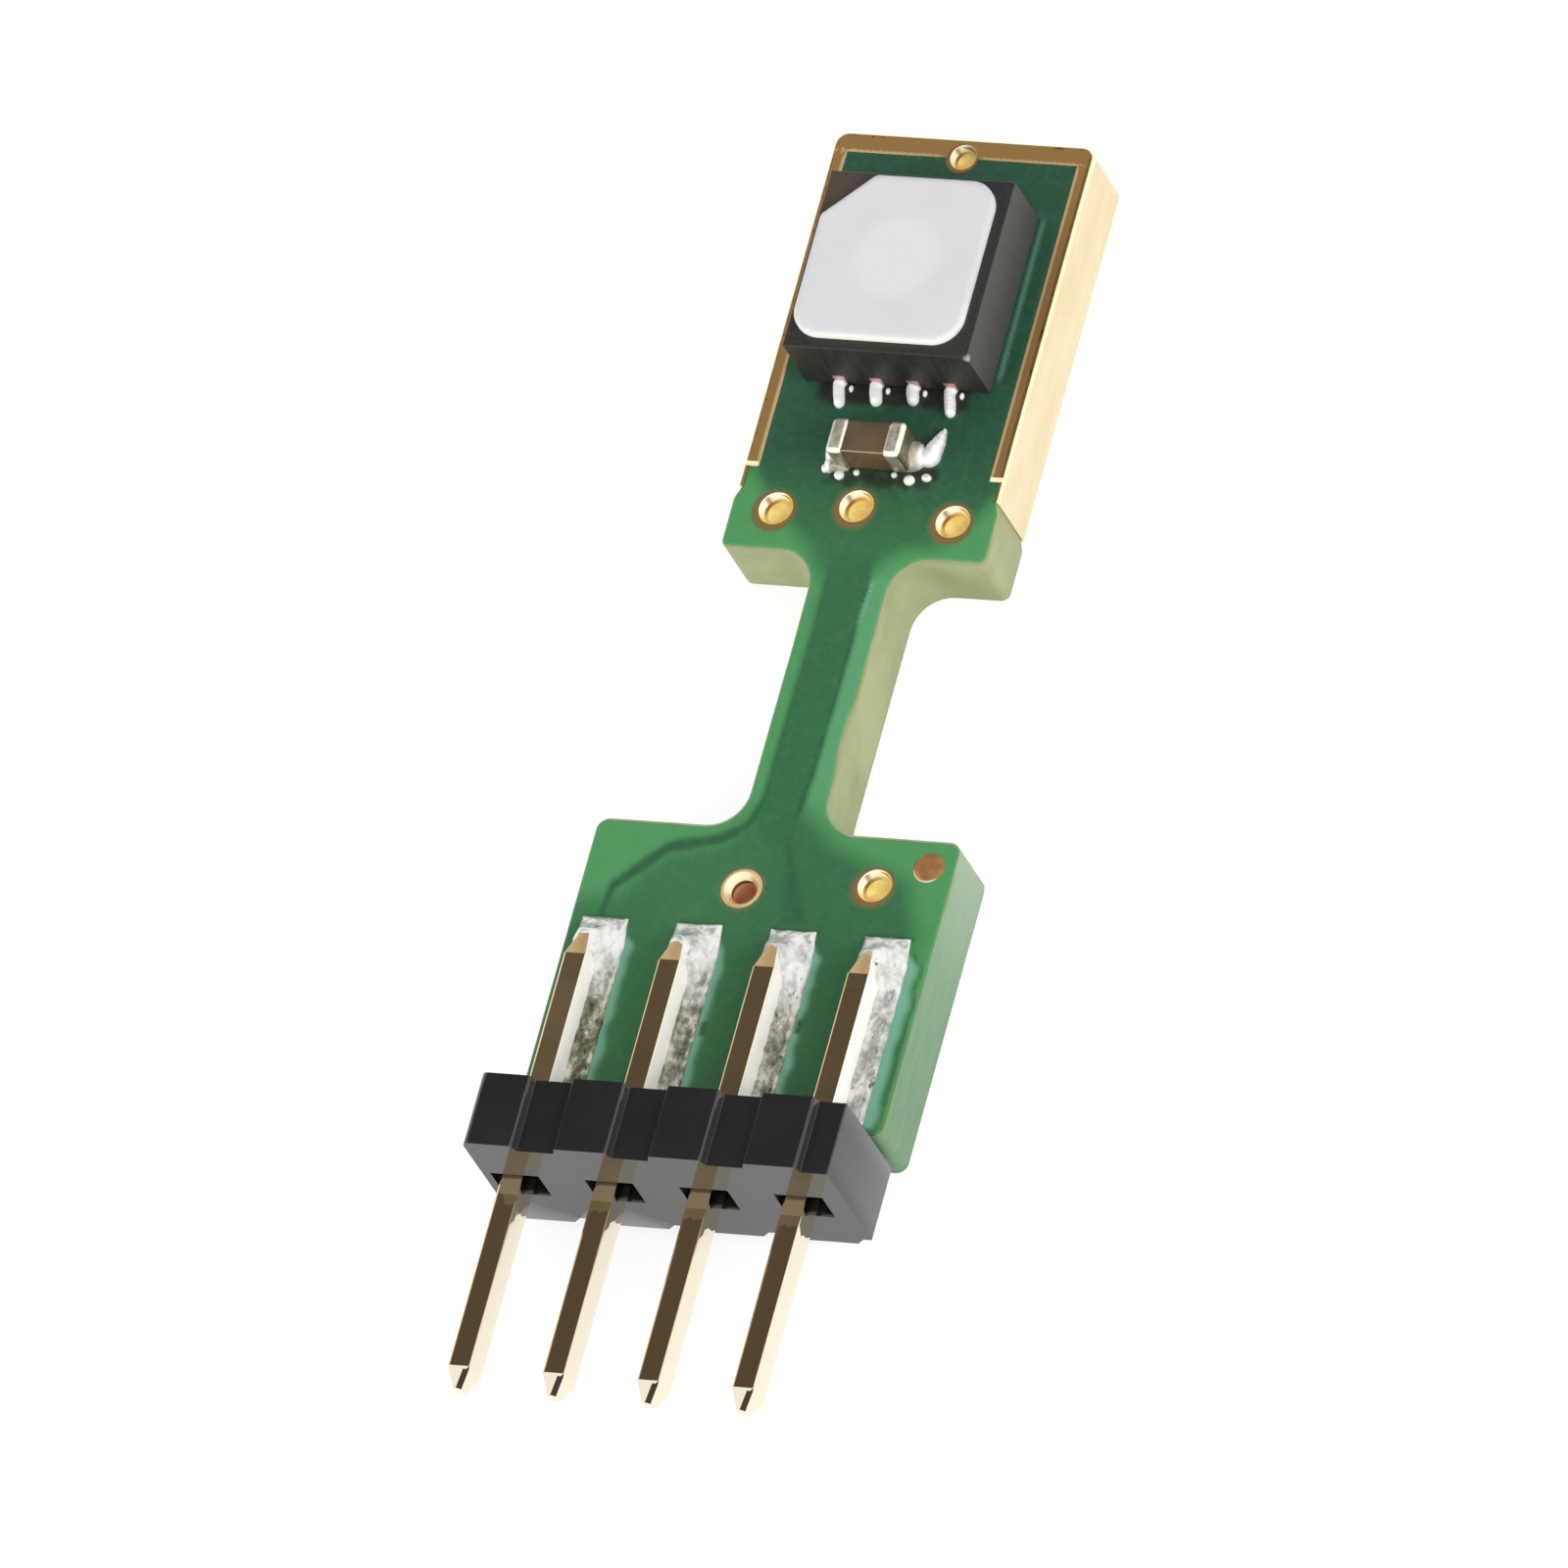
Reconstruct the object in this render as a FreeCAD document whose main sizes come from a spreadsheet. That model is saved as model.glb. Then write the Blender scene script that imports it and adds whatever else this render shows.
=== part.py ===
import FreeCAD, Part
import math
import os
import Sketcher
from FreeCAD import Vector

# Temperature and humidity sensor module: a small dumbbell-shaped circuit board lying on its rear face,
# with a packaged sensor on its head and a straight pin header soldered along its lower edge.
# Frame: X across the board, Y from the pins to the sensor end, Z out of the component side, rear face on Z = 0.

doc = FreeCAD.newDocument("sensor_module")

# Driving dimensions in millimetres
SIZES = [
    ("board_foot", -4.945, "Y of the board's lower edge"),
    ("base_left_margin", 0.173, "board beyond the first pad"),
    ("base_right_margin", 0.331, "board beyond the last pad"),
    ("base_shoulder", 1.38, "board between the pads and the base's upper edge"),
    ("neck_width", 1.055, "width of the neck"),
    ("neck_length", 3.883, "length of the neck between base and head"),
    ("neck_shift", -0.01, "X of the neck's centre line"),
    ("head_margin", 0.478, "board beyond each side of the sensor package"),
    ("head_chin", 2.355, "board between the sensor package and the head's foot"),
    ("head_shift", -0.075, "X of the head's centre line"),
    ("corner_radius", 0.16, "radius of the board's outer corners"),
    ("heel_flare", 0.06, "how far the head's foot stands out below the plated edge"),
    ("heel_rise", 0.15, "length of the slope at the top of that flare"),
    ("heel_radius", 0.1, "radius of the corners at the head's foot"),
    ("neck_radius", 0.5, "radius of the fillets where the neck meets base and head"),
    ("core_thickness", 0.94, "thickness of the bare laminate"),
    ("film_thickness", 0.03, "thickness of the mask and copper layer on each side"),
    ("mask_margin", 0.045, "bare rim left between mask and board edge"),
    ("plating_thickness", 0.026, "thickness of the plating on the board's edge"),
    ("side_band", 0.168, "width of the plated band along the head's sides"),
    ("tip_band", 0.24, "width of the plated band along the head's end"),
    ("band_rise", 1.144, "height of the bands' foot above the head's foot"),
    ("wall_drop", 0.3, "how far the plated edge runs down beyond its bands"),
    ("ring_radius", 0.275, "outer radius of a via's ring"),
    ("barrel_radius", 0.235, "outer radius of a via's barrel"),
    ("via_radius", 0.195, "radius of a via's open hole"),
    ("tip_ring_radius", 0.215, "outer radius of the ring at the head's end"),
    ("tip_barrel_radius", 0.175, "outer radius of the barrel at the head's end"),
    ("tip_via_radius", 0.14, "radius of the open hole at the head's end"),
    ("dish_depth", 0.13, "depth down to the plug of a filled via"),
    ("tip_via_offset", 0.0, "X of the tip via from the head's centre line"),
    ("tip_via_inset", 0.244, "distance of the tip via from the head's end"),
    ("left_via_offset", 1.193, "distance of the left head via from the head's centre line"),
    ("left_via_rise", 0.535, "height of the left head via above the head's foot"),
    ("mid_via_offset", 0.13, "distance of the middle head via from the head's centre line"),
    ("mid_via_rise", 0.64, "height of the middle head via above the head's foot"),
    ("right_via_offset", 1.205, "distance of the right head via from the head's centre line"),
    ("right_via_rise", 0.515, "height of the right head via above the head's foot"),
    ("base_left_via_x", -0.29, "X of the left via on the base"),
    ("base_left_via_drop", 0.845, "distance of the left base via below the base's upper edge"),
    ("base_right_via_inset", 1.017, "distance of the right base via from the base's right edge"),
    ("base_right_via_drop", 0.70, "distance of the right base via below the base's upper edge"),
    ("dot_radius", 0.205, "radius of the bare copper dot"),
    ("dot_inset", 0.357, "distance of the dot from the base's right edge"),
    ("dot_drop", 0.37, "distance of the dot below the base's upper edge"),
    ("pin_pitch", 1.27, "distance between pins"),
    ("pin_shift", -0.15, "X of the middle of the pin row"),
    ("pin_width", 0.3, "width of a pin along X"),
    ("pin_thickness", 0.4, "thickness of a pin along Z"),
    ("pin_reach", 2.88, "length of a pin below the header"),
    ("pin_lap", 2.39, "length of a pin over the board"),
    ("foot_taper", 0.25, "length of the taper at a pin's lower end"),
    ("top_taper", 0.38, "length of the taper at a pin's upper end"),
    ("tip_width", 0.12, "width left at a pin's end"),
    ("tip_thickness", 0.16, "thickness left at a pin's end"),
    ("solder_film", 0.01, "solder between a pin and its pad"),
    ("pad_width", 0.6, "width of a pin pad"),
    ("pad_length", 2.6, "length of a pin pad"),
    ("pad_shift", -0.079, "X of the middle of the pad row"),
    ("pad_margin", 0.13, "distance of the pads from the board's lower edge"),
    ("solder_height", 0.3, "height of the solder beside a pin"),
    ("solder_slope", 0.34, "length of the solder's ramp at the top of a pad"),
    ("header_gap", 0.133, "gap between the board's lower edge and the header"),
    ("header_height", 0.99, "height of the header along the pins"),
    ("header_left", 0.38, "header beyond the first pin's centre"),
    ("header_right", 0.68, "header beyond the last pin's centre"),
    ("front_cover", 0.826, "header in front of the pins"),
    ("rear_cover", 0.727, "header behind the pins"),
    ("notch_depth", 0.12, "depth of the notches between the header's cells"),
    ("notch_start", 0.285, "distance of a front notch from the pin on its left"),
    ("notch_end", 0.405, "distance of a front notch from the pin on its right"),
    ("notch_left_rise", 0.045, "run of a notch's left flank"),
    ("notch_right_rise", 0.11, "run of a notch's right flank"),
    ("rear_notch_start", 0.45, "distance of a rear notch from the pin on its left"),
    ("recess_width", 0.65, "width of the recess round a pin"),
    ("recess_thickness", 0.51, "thickness of the recess round a pin"),
    ("recess_depth", 0.3, "depth of the recess round a pin"),
    ("recess_shift", 0.055, "X of a recess from its pin"),
    ("sensor_width", 2.5, "width of the sensor package"),
    ("sensor_length", 2.5, "length of the sensor package"),
    ("sensor_height", 0.909, "height of the sensor package"),
    ("sensor_inset", 0.998, "distance of the sensor package from the head's end"),
    ("membrane_side", 0.112, "package left free on each side of a centred membrane"),
    ("membrane_end", 0.1045, "package left free at each end of a centred membrane"),
    ("membrane_thickness", 0.1, "thickness of the membrane"),
    ("membrane_shift", -0.05, "X of the membrane from the package's centre"),
    ("membrane_rise", 0.038, "Y of the membrane from the package's centre"),
    ("membrane_radius", 0.38, "corner radius of the membrane"),
    ("membrane_chamfer", 0.6, "cut corner of the membrane"),
    ("port_radius", 0.55, "radius of the air port below the membrane"),
    ("port_depth", 0.3, "depth of the air port"),
    ("terminal_pitch", 0.5, "distance between sensor terminals"),
    ("terminal_width", 0.25, "width of a sensor terminal"),
    ("terminal_length", 0.35, "length of a sensor terminal"),
    ("terminal_height", 0.2, "height of a sensor terminal"),
    ("toe_length", 0.25, "solder in front of a sensor terminal"),
    ("toe_height", 0.17, "height of the solder at a sensor terminal"),
    ("capacitor_length", 1.0, "length of the capacitor"),
    ("capacitor_width", 0.49, "width of the capacitor"),
    ("capacitor_height", 0.5, "height of the capacitor"),
    ("capacitor_shift", -0.015, "X of the capacitor from the head's centre line"),
    ("capacitor_gap", 0.715, "gap between the capacitor and the sensor package"),
    ("cap_length", 0.24, "length of a capacitor's end cap"),
    ("cap_skin", 0.012, "thickness of an end cap over the ceramic"),
    ("left_fillet_run", 0.19, "run of the solder at the capacitor's left end"),
    ("left_fillet_height", 0.3, "height of the solder at the capacitor's left end"),
    ("right_fillet_run", 0.36, "run of the solder at the capacitor's right end"),
    ("right_fillet_height", 0.4, "height of the solder at the capacitor's right end"),
    ("horn_rise", 0.2, "how far the right solder reaches beyond the capacitor's side"),
    ("copper_thickness", 0.018, "thickness of the copper under the mask"),
    ("neck_copper", 0.5, "width of the copper along the neck"),
    ("pour_margin", 0.12, "bare laminate between the copper area and the plated bands"),
    ("trace_width", 0.2, "width of the trace from the first pad"),
]

sheet = doc.addObject("Spreadsheet::Sheet", "Sizes")
for row, (alias, value, meaning) in enumerate(SIZES, start=1):
    sheet.set(f"A{row}", alias)
    sheet.set(f"B{row}", str(value))
    sheet.setAlias(f"B{row}", alias)
    sheet.set(f"C{row}", meaning)
doc.recompute()


def sized(text):
    """Turns a formula of bare size names into one that reads the sheet."""
    words = []
    name = ""
    for letter in text + " ":
        if letter.isalpha() or letter == "_":
            name += letter
            continue
        if name:
            words.append("Sizes." + name)
            name = ""
        words.append(letter)
    return "".join(words).strip()


# Levels and lines that several pieces share
PAD_FOOT = "(board_foot + pad_margin)"
PAD_TOP = "(board_foot + pad_margin + pad_length)"
BASE_TOP = f"({PAD_TOP} + base_shoulder)"
HEAD_FOOT = f"({BASE_TOP} + neck_length)"
SENSOR_FOOT = f"({HEAD_FOOT} + head_chin)"
SENSOR_MIDDLE = f"({SENSOR_FOOT} + sensor_length / 2)"
SENSOR_TOP = f"({SENSOR_FOOT} + sensor_length)"
HEAD_TOP = f"({SENSOR_TOP} + sensor_inset)"
CORE_TOP = "(film_thickness + core_thickness)"
BOARD_TOP = "(2 * film_thickness + core_thickness)"
HEAD_LEFT = "(head_shift - sensor_width / 2 - head_margin)"
HEAD_RIGHT = "(head_shift + sensor_width / 2 + head_margin)"
BAND_FOOT = f"({HEAD_FOOT} + band_rise)"
WALL_FOOT = f"({BAND_FOOT} - wall_drop)"
BASE_LEFT = "(pad_shift - 1.5 * pin_pitch - pad_width / 2 - base_left_margin)"
BASE_RIGHT = "(pad_shift + 1.5 * pin_pitch + pad_width / 2 + base_right_margin)"
HEADER_TOP = "(board_foot - header_gap)"
HEADER_FOOT = "(board_foot - header_gap - header_height)"
PIN_FOOT = f"({HEADER_FOOT} - pin_reach)"
PIN_TOP = "(board_foot + pin_lap)"
PIN_REAR = f"({BOARD_TOP} + solder_film)"
PIN_MIDDLE = f"({PIN_REAR} + pin_thickness / 2)"
CAPACITOR_X = "(head_shift + capacitor_shift)"
CAPACITOR_Y = f"({SENSOR_FOOT} - capacitor_gap - capacitor_width / 2)"
STEPS = (-1.5, -0.5, 0.5, 1.5)

pieces = []


def piece(thing, label):
    """Names a finished sub-part and lists it."""
    thing.Label = label
    pieces.append(thing)
    return thing


def new_body(name):
    """Starts a body."""
    return doc.addObject("PartDesign::Body", name)


def new_sketch(body, role, level="0"):
    """Starts a sketch on one of the body's own planes, at a level along its normal."""
    plane = [item for item in body.Origin.OriginFeatures if item.Role == role][0]
    sketch = body.newObject("Sketcher::SketchObject", body.Name + "Sketch")
    sketch.AttachmentSupport = [(plane, "")]
    sketch.MapMode = "FlatFace"
    sketch.setExpression("AttachmentOffset.Base.z", sized(level))
    return sketch


def outline(sketch, corners):
    """Draws a closed outline whose corners are formulas of the sizes."""
    count = len(corners)
    spots = []
    for index in range(count):
        turn = 2 * math.pi * index / count
        spots.append(Vector(math.cos(turn), math.sin(turn), 0))
    for index in range(count):
        sketch.addGeometry(Part.LineSegment(spots[index], spots[(index + 1) % count]))
    for index in range(count):
        sketch.addConstraint(Sketcher.Constraint("Coincident", index, 2, (index + 1) % count, 1))
    for index, (across, along) in enumerate(corners):
        for kind, formula, start in (("DistanceX", across, spots[index].x), ("DistanceY", along, spots[index].y)):
            number = sketch.addConstraint(Sketcher.Constraint(kind, -1, 1, index, 1, start))
            sketch.setExpression(f"Constraints[{number}]", sized(formula))
    return sketch


def rectangle(sketch, left, right, low, high):
    """Draws a rectangle between four formulas."""
    return outline(sketch, [(left, low), (right, low), (right, high), (left, high)])


def ring_line(sketch, across, along, radius):
    """Draws a circle whose centre and radius are formulas."""
    number = sketch.addGeometry(Part.Circle(Vector(0, 0, 0), Vector(0, 0, 1), 1))
    for kind, formula in (("DistanceX", across), ("DistanceY", along)):
        place = sketch.addConstraint(Sketcher.Constraint(kind, -1, 1, number, 3, 0))
        sketch.setExpression(f"Constraints[{place}]", sized(formula))
    size = sketch.addConstraint(Sketcher.Constraint("Radius", number, 1))
    sketch.setExpression(f"Constraints[{size}]", sized(radius))
    return sketch


def pad(body, sketch, length, reverse=False):
    """Raises a sketch into a solid."""
    feature = body.newObject("PartDesign::Pad", body.Name + "Pad")
    feature.Profile = sketch
    feature.setExpression("Length", sized(length))
    feature.Reversed = reverse
    sketch.Visibility = False
    doc.recompute()
    return feature


def pocket(body, sketch, depth, reverse=False):
    """Cuts a sketch out of the body and makes sure that it removed something."""
    before = body.Shape.Volume
    feature = body.newObject("PartDesign::Pocket", body.Name + "Pocket")
    feature.Profile = sketch
    feature.setExpression("Length", sized(depth))
    feature.Reversed = reverse
    sketch.Visibility = False
    doc.recompute()
    if body.Shape.Volume >= before:
        raise ValueError(body.Name + ": a pocket removed nothing")
    return feature


def loft(body, lower, upper):
    """Joins two sketches of the body with a tapering solid."""
    feature = body.newObject("PartDesign::AdditiveLoft", body.Name + "Loft")
    feature.Profile = lower
    feature.Sections = [upper]
    feature.Ruled = True
    doc.recompute()
    return feature


def row_of(body, feature, gaps):
    """Repeats a cut along the pin row."""
    axis = [item for item in body.Origin.OriginFeatures if item.Role == "X_Axis"][0]
    pattern = body.newObject("PartDesign::LinearPattern", body.Name + "Row")
    pattern.Originals = [feature]
    pattern.Direction = (axis, [""])
    pattern.setExpression("Length", sized(f"{gaps} * pin_pitch"))
    pattern.Occurrences = gaps + 1
    body.Tip = pattern
    doc.recompute()
    return pattern


def upright_edges(shape, spots):
    """Names the edges along Z that stand on the given spots."""
    names = []
    for number, edge in enumerate(shape.Edges, start=1):
        start, end = edge.Vertexes[0].Point, edge.Vertexes[-1].Point
        if abs(start.x - end.x) > 1e-5 or abs(start.y - end.y) > 1e-5:
            continue
        if any(abs(start.x - spot.x) < 1e-4 and abs(start.y - spot.y) < 1e-4 for spot in spots):
            names.append(f"Edge{number}")
    return names


def round_corners(body, feature, sketch, corners, radius):
    """Rounds the upright edges that stand on some of a sketch's corners."""
    spots = [sketch.Geometry[index].StartPoint for index in corners]
    fillet = body.newObject("PartDesign::Fillet", body.Name + "Fillet")
    fillet.Base = (feature, upright_edges(feature.Shape, spots))
    fillet.setExpression("Radius", sized(radius))
    doc.recompute()
    return fillet


def cylinder(name, across, along, level, radius, height):
    """Makes an upright cylinder, used as a drill or a window."""
    solid = doc.addObject("Part::Cylinder", name)
    solid.setExpression("Radius", sized(radius))
    solid.setExpression("Height", sized(height))
    solid.setExpression("Placement.Base.x", sized(across))
    solid.setExpression("Placement.Base.y", sized(along))
    solid.setExpression("Placement.Base.z", sized(level))
    return solid


def cut_by(base, tools, name):
    """Cuts a list of solids out of a base."""
    cutter = doc.addObject("Part::Compound", name + "Tools")
    cutter.Links = tools
    result = doc.addObject("Part::Cut", name)
    result.Base = base
    result.Tool = cutter
    doc.recompute()
    return result


# Board outline

def board_corners(inset):
    """Returns the dumbbell's corners, pulled in by a margin, starting at the lower left."""
    base_left, base_right = f"{BASE_LEFT} + {inset}", f"{BASE_RIGHT} - {inset}"
    neck_left = f"neck_shift - neck_width / 2 + {inset}"
    neck_right = f"neck_shift + neck_width / 2 - {inset}"
    foot, shoulder = f"board_foot + {inset}", f"{BASE_TOP} - {inset}"
    chin, crown = f"{HEAD_FOOT} + {inset}", f"{HEAD_TOP} - {inset}"
    left, right = f"{HEAD_LEFT} + {inset}", f"{HEAD_RIGHT} - {inset}"
    heel_left, heel_right, heel_top = f"{left} - heel_flare", f"{right} + heel_flare", f"{WALL_FOOT} - heel_rise"
    return [
        (base_left, foot), (base_right, foot), (base_right, shoulder), (neck_right, shoulder),
        (neck_right, chin), (heel_right, chin), (heel_right, heel_top), (right, WALL_FOOT),
        (right, crown), (left, crown), (left, WALL_FOOT), (heel_left, heel_top),
        (heel_left, chin), (neck_left, chin), (neck_left, shoulder), (base_left, shoulder),
    ]


core = new_body("Core")
core_sketch = outline(new_sketch(core, "XY_Plane", "film_thickness"), board_corners("0"))
core_pad = pad(core, core_sketch, "core_thickness")
core_neck = round_corners(core, core_pad, core_sketch, (3, 4, 13, 14), "neck_radius")
core_heel = round_corners(core, core_neck, core_sketch, (5, 12), "heel_radius")
round_corners(core, core_heel, core_sketch, (0, 1, 2, 8, 9, 15), "corner_radius")


def mask_sheet(name, level):
    """Makes a whole sheet of mask: the board's outline less its bare rim and the plated bands."""
    body = new_body(name)
    corners = board_corners("mask_margin")
    inner_left, inner_right = f"{HEAD_LEFT} + side_band", f"{HEAD_RIGHT} - side_band"
    inner_top = f"{HEAD_TOP} - tip_band"
    corners[8:10] = [
        (corners[8][0], BAND_FOOT), (inner_right, BAND_FOOT), (inner_right, inner_top),
        (inner_left, inner_top), (inner_left, BAND_FOOT), (corners[9][0], BAND_FOOT),
    ]
    sketch = outline(new_sketch(body, "XY_Plane", level), corners)
    sheet_pad = pad(body, sketch, "film_thickness")
    necks = round_corners(body, sheet_pad, sketch, (3, 4, 17, 18), "(neck_radius + mask_margin)")
    heels = round_corners(body, necks, sketch, (5, 16), "(heel_radius - mask_margin)")
    round_corners(body, heels, sketch, (0, 1, 2, 19), "(corner_radius - mask_margin)")
    return body


# Plated edge of the head with its front and rear bands

plating = new_body("Plating")
plating_sketch = rectangle(
    new_sketch(plating, "XY_Plane"),
    f"{HEAD_LEFT} - plating_thickness", f"{HEAD_RIGHT} + plating_thickness",
    WALL_FOOT, f"{HEAD_TOP} + plating_thickness",
)
plating_pad = pad(plating, plating_sketch, BOARD_TOP)
round_corners(plating, plating_pad, plating_sketch, (2, 3), "(corner_radius + plating_thickness)")
window_sketch = rectangle(
    new_sketch(plating, "XY_Plane", BOARD_TOP),
    f"{HEAD_LEFT} + side_band", f"{HEAD_RIGHT} - side_band",
    f"{WALL_FOOT} - 1", f"{HEAD_TOP} - tip_band",
)
pocket(plating, window_sketch, BOARD_TOP)
foot_sketch = rectangle(
    new_sketch(plating, "XY_Plane", BOARD_TOP),
    HEAD_LEFT, HEAD_RIGHT, f"{WALL_FOOT} - 1", BAND_FOOT,
)
pocket(plating, foot_sketch, BOARD_TOP)

# Vias

VIAS = [
    ("via_head_tip", "head_shift + tip_via_offset", f"{HEAD_TOP} - tip_via_inset", "tip_"),
    ("via_head_left", "head_shift - left_via_offset", f"{HEAD_FOOT} + left_via_rise", ""),
    ("via_head_middle", "head_shift - mid_via_offset", f"{HEAD_FOOT} + mid_via_rise", ""),
    ("via_head_right", "head_shift + right_via_offset", f"{HEAD_FOOT} + right_via_rise", ""),
    ("via_base_left", "base_left_via_x", f"{BASE_TOP} - base_left_via_drop", ""),
    ("via_base_right", f"{BASE_RIGHT} - base_right_via_inset", f"{BASE_TOP} - base_right_via_drop", ""),
]
OPEN_VIA = "via_base_left"
drills = []
windows = []
for label, across, along, prefix in VIAS:
    via = new_body(label.title().replace("_", ""))
    via.setExpression("Placement.Base.x", sized(across))
    via.setExpression("Placement.Base.y", sized(along))
    hole, barrel, ring = prefix + "via_radius", prefix + "barrel_radius", prefix + "ring_radius"
    front = [(hole, BOARD_TOP), (ring, BOARD_TOP), (ring, CORE_TOP), (barrel, CORE_TOP)]
    rear = [(barrel, "film_thickness"), (ring, "film_thickness"), (ring, "0"), (hole, "0")]
    if label == OPEN_VIA:
        profile = front + rear
    else:
        plug = [(hole, "dish_depth"), ("0", "dish_depth")]
        plug += [("0", f"{BOARD_TOP} - dish_depth"), (hole, f"{BOARD_TOP} - dish_depth")]
        profile = front + rear + plug
    via_sketch = outline(new_sketch(via, "XZ_Plane"), profile)
    turned = via.newObject("PartDesign::Revolution", via.Name + "Turned")
    turned.Profile = via_sketch
    turned.ReferenceAxis = (via_sketch, ["V_Axis"])
    turned.Angle = 360
    via_sketch.Visibility = False
    doc.recompute()
    piece(via, label)
    drills.append(cylinder(via.Name + "Drill", across, along, "0", barrel, BOARD_TOP))
    windows.append(cylinder(via.Name + "Window", across, along, "0", ring, "film_thickness"))
    windows.append(cylinder(via.Name + "FrontWindow", across, along, CORE_TOP, ring, "film_thickness"))

piece(cut_by(core, drills, "Laminate"), "board_laminate")
piece(cut_by(plating, [core] + windows[:2], "EdgePlating"), "edge_plating")

# Bare copper dot and pin pads

dot = cylinder("Dot", f"{BASE_RIGHT} - dot_inset", f"{BASE_TOP} - dot_drop", CORE_TOP, "dot_radius", "film_thickness")
piece(dot, "copper_dot")

pads = []
for number, step in enumerate(STEPS, start=1):
    pin_pad = new_body(f"PinPad{number}")
    middle = f"pad_shift + {step} * pin_pitch"
    pad_sketch = rectangle(
        new_sketch(pin_pad, "XY_Plane", CORE_TOP),
        f"{middle} - pad_width / 2", f"{middle} + pad_width / 2", PAD_FOOT, PAD_TOP,
    )
    pad(pin_pad, pad_sketch, "film_thickness")
    pads.append(piece(pin_pad, f"pin_pad_{number}"))

# Pins with a taper at each end

pins = []
for number, step in enumerate(STEPS, start=1):
    pin = new_body(f"Pin{number}")
    pin.setExpression("Placement.Base.x", sized(f"pin_shift + {step} * pin_pitch"))
    pin.setExpression("Placement.Base.z", sized(PIN_MIDDLE))
    full = ("-pin_width / 2", "pin_width / 2", "-pin_thickness / 2", "pin_thickness / 2")
    small = ("-tip_width / 2", "tip_width / 2", "-tip_thickness / 2", "tip_thickness / 2")
    levels = (PIN_TOP, f"{PIN_TOP} - top_taper", f"{PIN_FOOT} + foot_taper", PIN_FOOT)
    sections = []
    for level, shape in zip(levels, (small, full, full, small)):
        sections.append(rectangle(new_sketch(pin, "XZ_Plane", f"-({level})"), *shape))
    pad(pin, sections[1], f"{PIN_TOP} - top_taper - {PIN_FOOT} - foot_taper")
    loft(pin, sections[1], sections[0])
    loft(pin, sections[2], sections[3])
    pins.append(piece(pin, f"pin_{number}"))

# Solder along each pin, hugging it and running out over the pad

for number, step in enumerate(STEPS, start=1):
    solder = new_body(f"PinSolder{number}")
    pad_middle, pin_middle = f"pad_shift + {step} * pin_pitch", f"pin_shift + {step} * pin_pitch"
    pad_left, pad_right = f"{pad_middle} - pad_width / 2", f"{pad_middle} + pad_width / 2"
    pin_left, pin_right = f"{pin_middle} - pin_width / 2", f"{pin_middle} + pin_width / 2"
    rise = ((pad_left, "0.03"), (pin_left, "0.4"), (pin_right, "1"), (pad_right, "0.15"))
    strip = [(pad_left, BOARD_TOP)]
    strip += [(across, f"{BOARD_TOP} + {share} * solder_height") for across, share in rise]
    strip += [(pad_right, BOARD_TOP)]
    toe = [(pad_left, BOARD_TOP)]
    toe += [(across, f"{BOARD_TOP} + 0.03 * solder_height") for across, share in rise]
    toe += [(pad_right, BOARD_TOP)]
    solder_low = outline(new_sketch(solder, "XZ_Plane", f"-{PAD_TOP} + solder_slope"), strip)
    solder_top = outline(new_sketch(solder, "XZ_Plane", f"-{PAD_TOP}"), toe)
    pad(solder, solder_low, "pad_length - solder_slope")
    loft(solder, solder_low, solder_top)
    piece(cut_by(solder, [pins[number - 1]], f"Solder{number}"), f"pin_solder_{number}")

# Header: a notched housing with a recess and a tight hole at each pin

FIRST_PIN = "(pin_shift - 1.5 * pin_pitch)"
LAST_PIN = "(pin_shift + 1.5 * pin_pitch)"
HEADER_FRONT = f"({PIN_REAR} + pin_thickness + front_cover)"
HEADER_REAR = f"({PIN_REAR} - rear_cover)"
header = new_body("Header")
header_sketch = rectangle(
    new_sketch(header, "XZ_Plane", f"-{HEADER_TOP}"),
    f"{FIRST_PIN} - header_left", f"{LAST_PIN} + header_right", HEADER_REAR, HEADER_FRONT,
)
pad(header, header_sketch, "header_height")
notch_left, notch_right = f"{FIRST_PIN} + notch_start", f"{FIRST_PIN} + pin_pitch - notch_end"
front_notch = outline(new_sketch(header, "XZ_Plane", f"-{HEADER_FOOT}"), [
    (notch_left, HEADER_FRONT), (f"{notch_left} + notch_left_rise", f"{HEADER_FRONT} - notch_depth"),
    (f"{notch_right} - notch_right_rise", f"{HEADER_FRONT} - notch_depth"), (notch_right, HEADER_FRONT),
])
row_of(header, pocket(header, front_notch, "header_height"), 3)
rear_left = f"{FIRST_PIN} + rear_notch_start"
rear_notch = outline(new_sketch(header, "XZ_Plane", f"-{HEADER_FOOT}"), [
    (rear_left, HEADER_REAR), (notch_right, HEADER_REAR),
    (f"{notch_right} - notch_right_rise", f"{HEADER_REAR} + notch_depth"),
    (f"{rear_left} + notch_right_rise", f"{HEADER_REAR} + notch_depth"),
])
row_of(header, pocket(header, rear_notch, "header_height"), 3)
recess = (
    f"{FIRST_PIN} + recess_shift - recess_width / 2", f"{FIRST_PIN} + recess_shift + recess_width / 2",
    f"{PIN_MIDDLE} - recess_thickness / 2", f"{PIN_MIDDLE} + recess_thickness / 2",
)
foot_recess = rectangle(new_sketch(header, "XZ_Plane", f"-{HEADER_FOOT}"), *recess)
row_of(header, pocket(header, foot_recess, "recess_depth"), 3)
top_recess = rectangle(new_sketch(header, "XZ_Plane", f"-{HEADER_TOP}"), *recess)
row_of(header, pocket(header, top_recess, "recess_depth", reverse=True), 3)
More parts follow.
